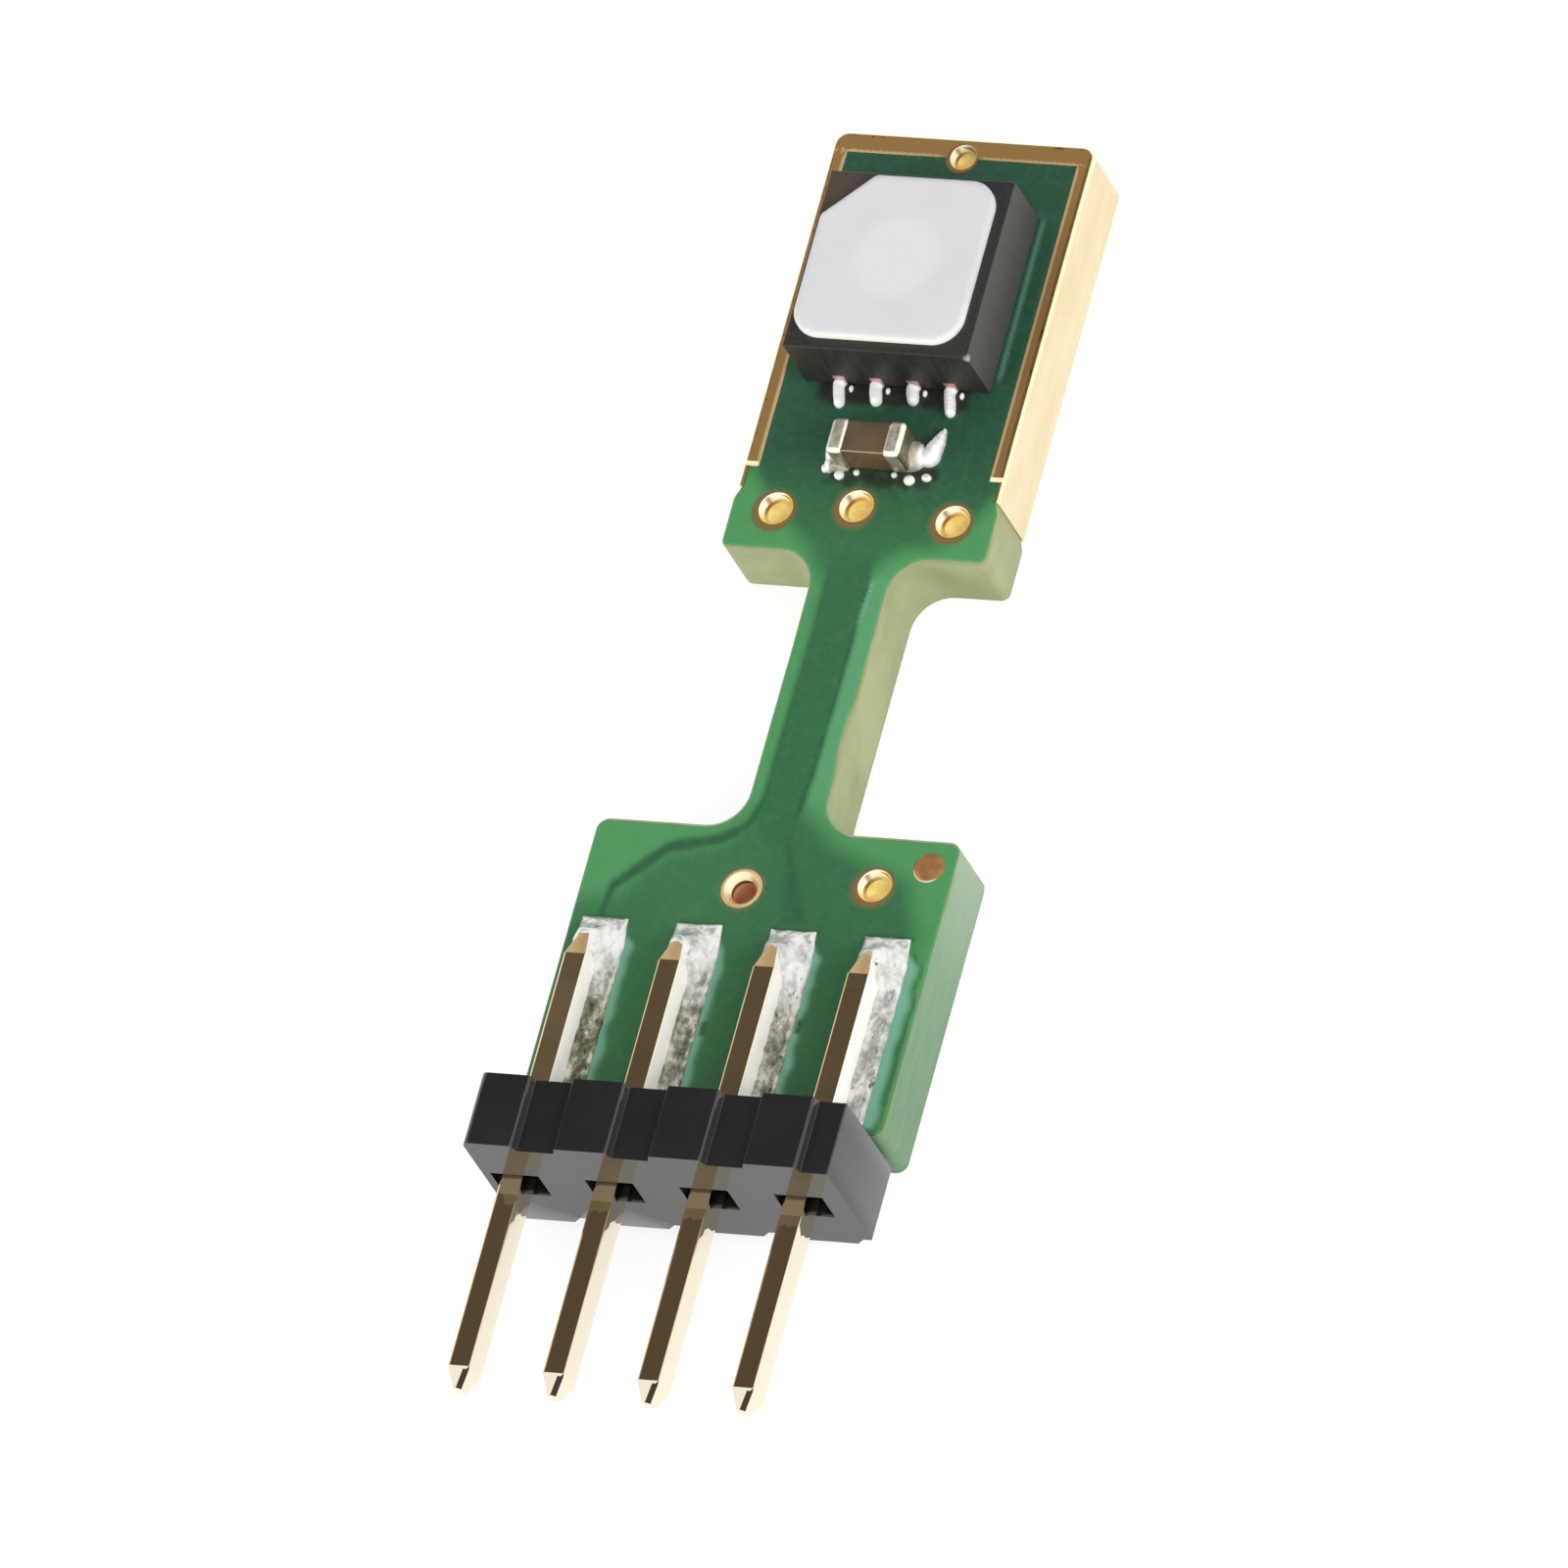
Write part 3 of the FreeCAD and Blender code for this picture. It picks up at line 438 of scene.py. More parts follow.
@dataclass(frozen=True)
class BlackPlastic:
    """Glass-filled black plastic, injection moulded, or transfer moulded and then sawn.

    To the eye: near black with a soft sheen, greyer and streaked where a saw has cut it.
    """

    name: str
    dark: str
    pale: str
    smooth: float
    rough: float
    grit: float
    depth: float
    saw: bool = False
    ior: float = 1.5
    cut: str = "#434340"
    stroke: str = "#605e5a"

    def make(self) -> Finish:
        """Returns the material, which reads the mesh's sawn number where a saw has cut it."""
        bench = Bench(self.name)
        tree = bench.tree
        cloud = bench.grain(0.8)
        bench.body = add_node(tree, "ShaderNodeValToRGB", {}, {"Fac": cloud}, ((0.3, self.dark), (0.75, self.pale)))
        # Moulding grit is finer than 0.01 mm; `grit` is the finest that shows here.
        layers = [(bench.grain(self.grit), self.depth)]
        if self.saw:
            strokes = bench.grain(0.035, 2.0, (1, 1, 14))
            layers.append((strokes, self.depth * 1.5))
            bench.lay("sawn", self.cut)
            streaks = add_node(tree, "ShaderNodeMapRange", {}, {"Value": strokes, **between(0.0, 0.16)})
            # A brown scuff at the far left corner, the saw's strokes, and a painted highlight at the near right one.
            for centre, reach, colour in (
                    ((-0.0012, 0.0078, 0.0019), between(0.5, 0.0, 0.0002, 0.0008), "#5b4a38"),
                    (None, {}, self.stroke),
                    ((0.001165, 0.005413, 0.00186), between(0.85, 0.0, 0.00002, 0.00007), "#b9b9b4")):
                where = streaks
                if centre:
                    away = add_node(tree, "ShaderNodeVectorMath", {"operation": "DISTANCE"}, {
                        0: bench.place, 1: centre}).outputs["Value"]
                    where = add_node(tree, "ShaderNodeMapRange", {}, {"Value": away, **reach})
                bench.lay(where, colour)
        bench.bump(*layers)
        rough = add_node(tree, "ShaderNodeMapRange", {}, {"Value": cloud, **between(self.smooth, self.rough)})
        return bench.wire(Roughness=rough, IOR=self.ior)


@dataclass(frozen=True)
class Membrane:
    """Expanded fluoropolymer film, stamped.

    To the eye: matt and cool white, a touch warmer over the port and at its lower rim.
    """

    cool: str = "#d2d3d5"
    pale: str = "#d6d7d9"
    port: str = "#d9dbd9"
    rim: str = "#efebe0"

    def make(self) -> Finish:
        """Returns the material, which reads the mesh's port and rim numbers."""
        bench = Bench("expanded_fluoropolymer_film")
        bench.body = add_node(bench.tree, "ShaderNodeValToRGB", {}, {"Fac": bench.grain(0.9, 2.0)}, (
            (0.3, self.cool), (0.7, self.pale)))
        bench.lay("port", self.port)
        bench.lay("rim", self.rim)
        # The film's fibres are about a micrometre; 0.05 mm is the finest that shows here.
        bench.bump((bench.grain(0.05), 0.0012))
        return bench.wire(Roughness=0.75, IOR=1.38)


@dataclass(frozen=True)
class Ceramic:
    """Fired barium titanate ceramic of a chip capacitor.

    To the eye: brown and fine-grained, slightly glossy, with lighter edges.
    """

    brown: str = "#524029"
    pale: str = "#624e34"
    lit: str = "#a88c62"

    def make(self) -> Finish:
        """Returns the material, which reads the mesh's lit number."""
        bench = Bench("fired_brown_ceramic")
        tree = bench.tree
        # Ceramic grains are about a micrometre; 0.03 mm is the finest that shows here.
        speck = bench.grain(0.03)
        bench.body = add_node(tree, "ShaderNodeValToRGB", {}, {"Fac": bench.grain(0.25)}, (
            (0.3, self.brown), (0.7, self.pale)))
        bench.lay("lit", self.lit)
        bench.bump((speck, 0.0015))
        rough = add_node(tree, "ShaderNodeMapRange", {}, {"Value": speck, **between(0.4, 0.55)})
        return bench.wire(Roughness=rough, IOR=1.6)


# ---------------------------------------------------------------- flat shapes


def rounded(corners: Sequence[Spot], steps: int = 8) -> np.ndarray:
    """Draws a closed outline with rounded corners.

    Args:
        corners: X, Y and radius of each corner, counter-clockwise.
        steps: Segments of each rounding.

    Returns:
        The outline's points, one row each.
    """
    points: list[Spot] = []
    for index, (x, y, radius) in enumerate(corners):
        if radius <= 0:
            points.append((x, y))
            continue
        here = np.array((x, y))
        back = np.array(corners[index - 1][:2]) - here
        ahead = np.array(corners[(index + 1) % len(corners)][:2]) - here
        back, ahead = back / np.linalg.norm(back), ahead / np.linalg.norm(ahead)
        half = math.acos(max(-1.0, min(1.0, float(back @ ahead)))) / 2
        run = radius / math.tan(half)
        middle = (back + ahead) / np.linalg.norm(back + ahead)
        centre = here + middle * radius / math.sin(half)
        start, end = here + back * run - centre, here + ahead * run - centre
        first, last = math.atan2(start[1], start[0]), math.atan2(end[1], end[0])
        turn = (last - first + math.pi) % (2 * math.pi) - math.pi
        for step in range(steps + 1):
            angle = first + turn * step / steps
            points.append((centre[0] + radius * math.cos(angle), centre[1] + radius * math.sin(angle)))
    return np.array(points)


def circle(x: float, y: float, radius: float, steps: int = 40) -> np.ndarray:
    """Draws a circle as a closed outline, counter-clockwise."""
    turns = np.arange(steps) * 2 * math.pi / steps
    return np.stack((x + radius * np.cos(turns), y + radius * np.sin(turns)), axis=1)


def box(left: float, right: float, low: float, high: float) -> np.ndarray:
    """Draws a rectangle as a closed outline, counter-clockwise."""
    return np.array(((left, low), (right, low), (right, high), (left, high)), dtype=float)


def divide(loop: np.ndarray, length: float) -> np.ndarray:
    """Adds points to an outline.

    Args:
        loop: Closed outline.
        length: Longest side that stays whole.

    Returns:
        The finer outline.
    """
    rows = []
    for start, end in zip(loop, np.roll(loop, -1, axis=0)):
        parts = max(1, math.ceil(float(np.linalg.norm(end - start)) / length))
        rows.extend(start + (end - start) * part / parts for part in range(parts))
    return np.array(rows)


def distance(points: np.ndarray, loop: np.ndarray) -> np.ndarray:
    """Measures how far points lie inside an outline.

    Args:
        points: One point a row.
        loop: Closed outline.

    Returns:
        Distance to the outline, negative outside.
    """
    nearest = np.full(len(points), 1e9)
    inside = np.zeros(len(points), dtype=bool)
    for start, end in zip(loop, np.roll(loop, -1, axis=0)):
        side = end - start
        share = np.clip((points - start) @ side / max(float(side @ side), 1e-12), 0, 1)
        nearest = np.minimum(nearest, np.linalg.norm(points - start - share[:, None] * side, axis=1))
        crosses = (start[1] > points[:, 1]) != (end[1] > points[:, 1])
        rise = side[1] if abs(side[1]) > 1e-12 else 1e-12
        inside ^= crosses & (points[:, 0] < start[0] + (points[:, 1] - start[1]) * side[0] / rise)
    return np.where(inside, nearest, -nearest)


def inside_sheet(points: np.ndarray, outline: np.ndarray, holes: Sequence[np.ndarray],
                 inner: float = 0.0, outer: float = 0.0) -> np.ndarray:
    """Tells which points lie on a sheet.

    Args:
        points: One point a row.
        outline: Outer loop of the sheet.
        holes: Openings of the sheet.
        inner: Least distance from the outer loop.
        outer: Least distance from a hole.

    Returns:
        True or False for each point.
    """
    keep = distance(points, outline) > inner
    for hole in holes:
        keep &= distance(points, hole) < -outer
    return keep


def soft(value: np.ndarray, low: float, high: float) -> np.ndarray:
    """Rises smoothly from 0 at `low` to 1 at `high`."""
    share = np.clip((value - low) / (high - low), 0, 1)
    return share * share * (3 - 2 * share)


def span(value: np.ndarray, low: float, full: float, fade: float, high: float) -> np.ndarray:
    """Rises smoothly from 0 at `low` to 1 at `full` and falls from `fade` back to 0 at `high`."""
    return soft(value, low, full) * (1 - soft(value, fade, high))


def bell(value: np.ndarray, width: float) -> np.ndarray:
    """Is 1 where a value is 0 and fades away over `width` on both sides."""
    return np.exp(-(value / width) ** 2)


def waves(points: np.ndarray, size: float, seed: float = 0.0) -> np.ndarray:
    """Gives smooth random numbers over a plane.

    Args:
        points: One point a row.
        size: Width of a wave in millimetres.
        seed: Picks another pattern.

    Returns:
        A number between about -1 and 1 for each point.
    """
    return np.array([noise.noise(Vector((x / size, y / size, seed))) for x, y in points])


# ---------------------------------------------------------------- mesh helpers


def new_object(name: str, points: Sequence[Sequence[float]], faces: Sequence[Sequence[int]]) -> Thing:
    """Makes an object from points in millimetres.

    Args:
        name: Name of the piece.
        points: X, Y and Z of each vertex.
        faces: Vertex numbers of each face, counter-clockwise from outside.

    Returns:
        The object, still in millimetres.
    """
    mesh = bpy.data.meshes.new(name)
    mesh.from_pydata([tuple(float(part) for part in point) for point in points], [],
                     [tuple(face) for face in faces])
    mesh.validate()
    mesh.update()
    thing = bpy.data.objects.new(name, mesh)
    bpy.context.scene.collection.objects.link(thing)
    return thing


def inset(loop: np.ndarray, depth: float) -> np.ndarray:
    """Moves an outline's points inwards.

    Args:
        loop: Closed outline, counter-clockwise.
        depth: How far, small beside the outline's sides.

    Returns:
        The smaller outline.
    """
    ahead = np.roll(loop, -1, axis=0) - loop
    back = loop - np.roll(loop, 1, axis=0)
    ahead /= np.maximum(np.linalg.norm(ahead, axis=1), 1e-9)[:, None]
    back /= np.maximum(np.linalg.norm(back, axis=1), 1e-9)[:, None]
    way = ahead + back
    way /= np.maximum(np.linalg.norm(way, axis=1), 1e-9)[:, None]
    return loop + np.stack((-way[:, 1], way[:, 0]), axis=1) * depth


def upward(plane: np.ndarray, triangles: Sequence[Sequence[int]]) -> list[tuple[int, int, int]]:
    """Turns flat triangles face up.

    Args:
        plane: X and Y of each point.
        triangles: Point numbers of each triangle.

    Returns:
        The triangles, each counter-clockwise from above.
    """
    turned = []
    for a, b, c in triangles:
        side, other = plane[b] - plane[a], plane[c] - plane[a]
        turned.append((a, b, c) if side[0] * other[1] - side[1] * other[0] > 0 else (a, c, b))
    return turned


def sheet(outline: np.ndarray, holes: Sequence[np.ndarray], spacing: float,
          rings: Sequence[float] = ()) -> tuple[np.ndarray, list, list]:
    """Fills an outline with triangles of an even size.

    Args:
        outline: Outer loop, counter-clockwise.
        holes: Loops that stay open.
        spacing: Distance between the inner points; 0 adds none.
        rings: Depths inside the outline at which rows of points follow it.

    Returns:
        The points, the triangles facing up, and the loops as lists of point numbers.
    """
    loops, rows, edges = [], [], []
    for loop in (outline, *holes):
        if spacing:
            loop = divide(loop, spacing * 1.5)
        numbers = list(range(len(rows), len(rows) + len(loop)))
        rows.extend(loop)
        loops.append(numbers)
        edges.extend(zip(numbers, numbers[1:] + numbers[:1]))
    border = divide(outline, spacing * 1.5) if rings else outline
    for depth in rings:
        row = inset(border, depth)
        rows.extend(row[inside_sheet(row, outline, holes, depth * 0.9, depth * 0.5)])
    if spacing:
        low, high = outline.min(axis=0), outline.max(axis=0)
        across = np.arange(low[0], high[0], spacing)
        along = np.arange(low[1], high[1], spacing * 0.866)
        grid = np.array([(x + (row % 2) * spacing / 2, y) for row, y in enumerate(along) for x in across])
        margin = spacing * 0.55
        rows.extend(grid[inside_sheet(grid, outline, holes, margin + max(rings, default=0.0), margin)])
    result = geometry.delaunay_2d_cdt([Vector(point) for point in np.array(rows)], edges, [], 0, 1e-7)
    points = np.array([tuple(point) for point in result[0]])
    triangles = np.array(result[2])
    keep = inside_sheet(points[triangles].mean(axis=1), outline, holes)
    return points, upward(points, triangles[keep].tolist()), loops


def height_piece(name: str, outline: np.ndarray, holes: Sequence[np.ndarray], spacing: float,
                 top: Measure | float, foot: float, numbers: dict[str, Measure] | None = None,
                 rings: Sequence[float] = ()) -> Thing:
    """Makes a closed sheet whose upper face follows a height.

    Args:
        name: Name of the piece.
        outline: Outer loop, counter-clockwise.
        holes: Openings through the sheet.
        spacing: Size of the triangles.
        top: Height of the upper face over each point, or one height for all.
        foot: Height of the flat lower face.
        numbers: Values to store on the mesh, each from the points.
        rings: Depths inside the outline at which rows of points follow it.

    Returns:
        The object, still in millimetres.
    """
    plane, triangles, loops = sheet(outline, holes, spacing, rings)
    count = len(plane)
    upper = np.column_stack((plane, top(plane) if callable(top) else np.full(count, top)))
    border = sorted({number for loop in loops for number in loop})
    order = {number: index for index, number in enumerate(border)}
    flat = plane[border]
    lower = np.column_stack((flat, np.full(len(border), foot)))
    rims = [(start, end) for loop in loops for start, end in zip(loop, loop[1:] + loop[:1])]
    filled = geometry.delaunay_2d_cdt([Vector(point) for point in flat],
                                      [(order[start], order[end]) for start, end in rims], [], 0, 1e-7)
    bottom = np.array(filled[2])
    keep = inside_sheet(flat[bottom].mean(axis=1), plane[loops[0]], [plane[loop] for loop in loops[1:]])
    faces: list[tuple[int, ...]] = list(triangles)
    faces += [(int(count + a), int(count + c), int(count + b)) for a, b, c in upward(flat, bottom[keep])]
    for index, loop in enumerate(loops):
        for start, end in zip(loop, loop[1:] + loop[:1]):
            wall = (start, count + order[start], count + order[end], end)
            faces.append(wall if index == 0 else wall[::-1])
    thing = new_object(name, np.vstack((upper, lower)), faces)
    for label, measure in (numbers or {}).items():
        layer = thing.data.attributes.new(label, "FLOAT", "POINT")
        values = measure(plane)
        layer.data.foreach_set("value", np.concatenate((values, values[border])).astype(np.float32))
    return thing


def bake(thing: Thing) -> Thing:
    """Turns an object's modifiers into plain mesh.

    Args:
        thing: Object with live modifiers.

    Returns:
        The same object.
    """
    graph = bpy.context.evaluated_depsgraph_get()
    graph.update()
    mesh = bpy.data.meshes.new_from_object(thing.evaluated_get(graph), preserve_all_data_layers=True,
                                           depsgraph=graph)
    thing.modifiers.clear()
    thing.data = mesh
    return thing


def bevelled(thing: Thing, width: float, segments: int = 2, angle: float = 35.0) -> Thing:
    """Rounds an object's sharp edges.

    Args:
        thing: Object in millimetres.
        width: Width of the rounding.
        segments: Facets of each rounding.
        angle: Edges sharper than this are rounded, in degrees.

    Returns:
        The same object.
    """
    tool = thing.modifiers.new("edges", "BEVEL")
    tool.width = width
    tool.segments = segments
    tool.limit_method = "ANGLE"
    tool.angle_limit = math.radians(angle)
    tool.harden_normals = False
    return bake(thing)


def carve(thing: Thing, cutters: Sequence[Thing]) -> None:
    """Cuts solids out of an object.

    Args:
        thing: Object in millimetres.
        cutters: Solids to cut out; they are removed.
    """
    for cutter in cutters:
        tool = thing.modifiers.new("cut", "BOOLEAN")
        tool.operation = "DIFFERENCE"
        tool.solver = "EXACT"
        tool.object = cutter
    bake(thing)
    for cutter in cutters:
        bpy.data.objects.remove(cutter)


def block(name: str, low: Spot, high: Spot) -> Thing:
    """Makes a block to be cut or rounded.

    Args:
        name: Name of the piece.
        low: Its lowest corner.
        high: Its highest corner.

    Returns:
        The object, still in millimetres.
    """
    corners = [(x, y, z) for z in (low[2], high[2]) for x, y in box(low[0], high[0], low[1], high[1])]
    faces = [(0, 3, 2, 1), (4, 5, 6, 7), (0, 1, 5, 4), (1, 2, 6, 5), (2, 3, 7, 6), (3, 0, 4, 7)]
    return new_object(name, corners, faces)


def stack(name: str, levels: Sequence[Sequence[Spot]]) -> Thing:
    """Joins loops of the same number of points into a closed solid.

    Args:
        name: Name of the piece.
        levels: Loops from the first end to the last, each counter-clockwise about the way ahead.

    Returns:
        The object, still in millimetres.
    """
    count, last = len(levels[0]), (len(levels) - 1) * len(levels[0])
    faces: list[tuple[int, ...]] = [tuple(reversed(range(count)))]
    for first in range(0, last, count):
        for index in range(count):
            ahead = (index + 1) % count
            faces.append((first + index, first + ahead, first + count + ahead, first + count + index))
    faces.append(tuple(range(last, last + count)))
    return new_object(name, [point for level in levels for point in level], faces)


def blobs(name: str, balls: Sequence[Spot], grain: float = 0.012, rounds: int = 3) -> Thing:
    """Melts a few ellipsoids into one drop of solder.

    Args:
        name: Name of the piece.
        balls: Centre and half axes of each ellipsoid, six numbers.
        grain: Size of the mesh's facets.
        rounds: How often the surface is smoothed.

    Returns:
        The object, still in millimetres.
    """
    points: list[Spot] = []
    faces: list[tuple[int, ...]] = []
    rows, turns = 14, 22
    for x, y, z, wide, long, tall in balls:
        first = len(points)
        points.append((x, y, z - tall))
        for row in range(1, rows):
            slope = -math.pi / 2 + math.pi * row / rows
            for turn in range(turns):
                angle = 2 * math.pi * turn / turns
                points.append((x + wide * math.cos(slope) * math.cos(angle),
                               y + long * math.cos(slope) * math.sin(angle), z + tall * math.sin(slope)))
        points.append((x, y, z + tall))
        last = len(points) - 1
        for turn in range(turns):
            ahead = (turn + 1) % turns
            faces.append((first, first + 1 + ahead, first + 1 + turn))
            faces.append((last, last - turns + turn, last - turns + ahead))
            for low in range(first + 1, first + 1 + (rows - 2) * turns, turns):
                faces.append((low + turn, low + ahead, low + turns + ahead, low + turns + turn))
    thing = new_object(name, points, faces)
    melt = thing.modifiers.new("melt", "REMESH")
    melt.mode = "VOXEL"
    melt.voxel_size = grain
    even = thing.modifiers.new("even", "SMOOTH")
    even.factor = 0.6
    even.iterations = rounds
    return bake(thing)


def outward(thing: Thing) -> None:
    """Turns every face of a closed mesh outwards.

    Args:
        thing: Object with a closed mesh.
    """
    shape = bmesh.new()
    shape.from_mesh(thing.data)
    bmesh.ops.recalc_face_normals(shape, faces=shape.faces)
    shape.to_mesh(thing.data)
    shape.free()


def lathe(name: str, profile: Sequence[tuple[float, float]], hollow: bool = False, turns: int = 96) -> Thing:
    """Turns a profile about the Z axis.

    Args:
        name: Name of the piece.
        profile: Radius and height of each point, with the solid on the left of the way.
        hollow: True closes the profile into a ring.
        turns: Facets round the axis.

    Returns:
        The object, still in millimetres.
    """
    points: list[Spot] = []
    rings: list[list[int]] = []
    for radius, height in profile:
        count = turns if radius else 1
        rings.append(list(range(len(points), len(points) + count)))
        for turn in range(count):
            angle = 2 * math.pi * turn / turns
            points.append((radius * math.cos(angle), radius * math.sin(angle), height))
    pairs = list(zip(rings, rings[1:])) + ([(rings[-1], rings[0])] if hollow else [])
    faces: list[tuple[int, ...]] = []
    for low, high in pairs:
        for turn in range(turns):
            ahead = (turn + 1) % turns
            if len(low) == 1:
                faces.append((low[0], high[ahead], high[turn]))
            elif len(high) == 1:
                faces.append((low[turn], low[ahead], high[0]))
            else:
                faces.append((low[turn], low[ahead], high[ahead], high[turn]))
    thing = new_object(name, points, faces)
    outward(thing)
    return thing


def merge(name: str, things: Sequence[Thing]) -> Thing:
    """Joins several objects into one mesh.

    Args:
        name: Name of the piece.
        things: Objects in millimetres; they are removed.

    Returns:
        The joined object.
    """
    points: list[Spot] = []
    faces: list[tuple[int, ...]] = []
    for thing in things:
        first = len(points)
        points.extend(tuple(vertex.co) for vertex in thing.data.vertices)
        faces.extend(tuple(first + number for number in face.vertices) for face in thing.data.polygons)
        bpy.data.objects.remove(thing)
    return new_object(name, points, faces)


def repeat_tree(name: str) -> Tree:
    """Builds a Geometry Nodes tree that sets a piece on every point it is given.

    The points carry a vector called size, which scales the piece there.

    Args:
        name: Name of the tree.

    Returns:
        The tree, with the inputs Points, Piece, Finish, Lean and Seed.
    """
    tree = bpy.data.node_groups.new(name, "GeometryNodeTree")
    for label, kind in (("Points", "Geometry"), ("Piece", "Object"), ("Finish", "Material"),
                        ("Lean", "Float"), ("Seed", "Int")):
        tree.interface.new_socket(label, in_out="INPUT", socket_type="NodeSocket" + kind)
    tree.interface.new_socket("Row", in_out="OUTPUT", socket_type="NodeSocketGeometry")
    start = add_node(tree, "NodeGroupInput").outputs
    piece = add_node(tree, "GeometryNodeObjectInfo", {"transform_space": "ORIGINAL"}, {
        "Object": start["Piece"], "As Instance": True})
    size = add_node(tree, "GeometryNodeInputNamedAttribute", {"data_type": "FLOAT_VECTOR"}, {"Name": "size"})
    lean = add_node(tree, "ShaderNodeCombineXYZ", {}, {axis: start["Lean"] for axis in "XYZ"})
    back = add_node(tree, "ShaderNodeVectorMath", {"operation": "SCALE"}, {0: lean, "Scale": -1.0})
    tilt = add_node(tree, "FunctionNodeRandomValue", {"data_type": "FLOAT_VECTOR"}, {
        0: back, 1: lean, "Seed": start["Seed"]})
    placed = add_node(tree, "GeometryNodeInstanceOnPoints", {}, {
        "Points": start["Points"], "Instance": piece.outputs["Geometry"], "Rotation": tilt, "Scale": size})
    real = add_node(tree, "GeometryNodeRealizeInstances", {}, {"Geometry": placed})
    dressed = add_node(tree, "GeometryNodeSetMaterial", {}, {"Geometry": real, "Material": start["Finish"]})
    add_node(tree, "NodeGroupOutput", {}, {"Row": dressed})
    return tree


def repeat(name: str, piece: Thing, material: Finish, spots: Sequence[Spot], lean: float = 0.0,
           seed: int = 1) -> Thing:
    """Sets a piece on several spots as one plain mesh.

    Args:
        name: Name of the row.
        piece: Piece round its own origin; it is removed.
        material: Finish of the row.
        spots: Place of each copy, and its scale along X, Y and Z.
        lean: Largest random tilt in radians.
        seed: Seed of the tilts.

    Returns:
        The row, still in millimetres.
    """
    row = new_object(name, [spot[:3] for spot in spots], [])
    sizes = row.data.attributes.new("size", "FLOAT_VECTOR", "POINT")
    for number, spot in enumerate(spots):
        sizes.data[number].vector = spot[3:6]
    values = {"Piece": piece, "Finish": material, "Lean": lean, "Seed": seed}
    tool = row.modifiers.new("repeat", "NODES")
    tool.node_group = repeat_tree(name + "_tree")
    for item in tool.node_group.interface.items_tree:
        if item.name in values:
            tool[item.identifier] = values[item.name]
    bake(row)
    bpy.data.objects.remove(piece)
    return row


def mark(thing: Thing, label: str, rule: Rule) -> None:
    """Stores a number on every face.

    Args:
        thing: Piece in millimetres.
        label: Name of the number.
        rule: Gives the number from the face's centre and normal.
    """
    layer = thing.data.attributes.new(label, "FLOAT", "FACE")
    for face in thing.data.polygons:
        layer.data[face.index].value = rule(face.center, face.normal)


def settle(thing: Thing, material: Finish, slot: Slot, nodes: Sequence[str], crease: float = 40.0,
           even: bool = False, rows: bool = False) -> None:
    """Brings a piece to metres, dresses it and ties it to the frame.

    Args:
        thing: Piece in millimetres.
        material: Its finish.
        slot: The material slot; not used.
        nodes: CAD nodes that it stands for.
        crease: Edges sharper than this stay sharp, in degrees.
        even: True keeps large flat faces evenly shaded beside their rounded edges.
        rows: True keeps every edge that runs straight across Y sharp.
    """
    mesh = thing.data
    mesh.transform(Matrix.Scale(MM, 4))
    mesh.materials.clear()
    mesh.materials.append(material)
    mesh.shade_smooth()
    mesh.set_sharp_from_angle(angle=math.radians(crease))
    if rows:
        for edge in mesh.edges:
            start, end = (mesh.vertices[number].co for number in edge.vertices)
            if abs(start.y - end.y) < 1e-7:
                edge.use_edge_sharp = True
    mesh.update()
    if even:
        thing.modifiers.new("even_shading", "WEIGHTED_NORMAL").keep_sharp = True
        mesh = bake(thing).data
    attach(thing, BODY)
    if nodes:
        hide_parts(*nodes)
    log.info("%s: %d faces, stands for %s", thing.name, len(mesh.polygons), ", ".join(nodes) or "nothing")


# ---------------------------------------------------------------- board


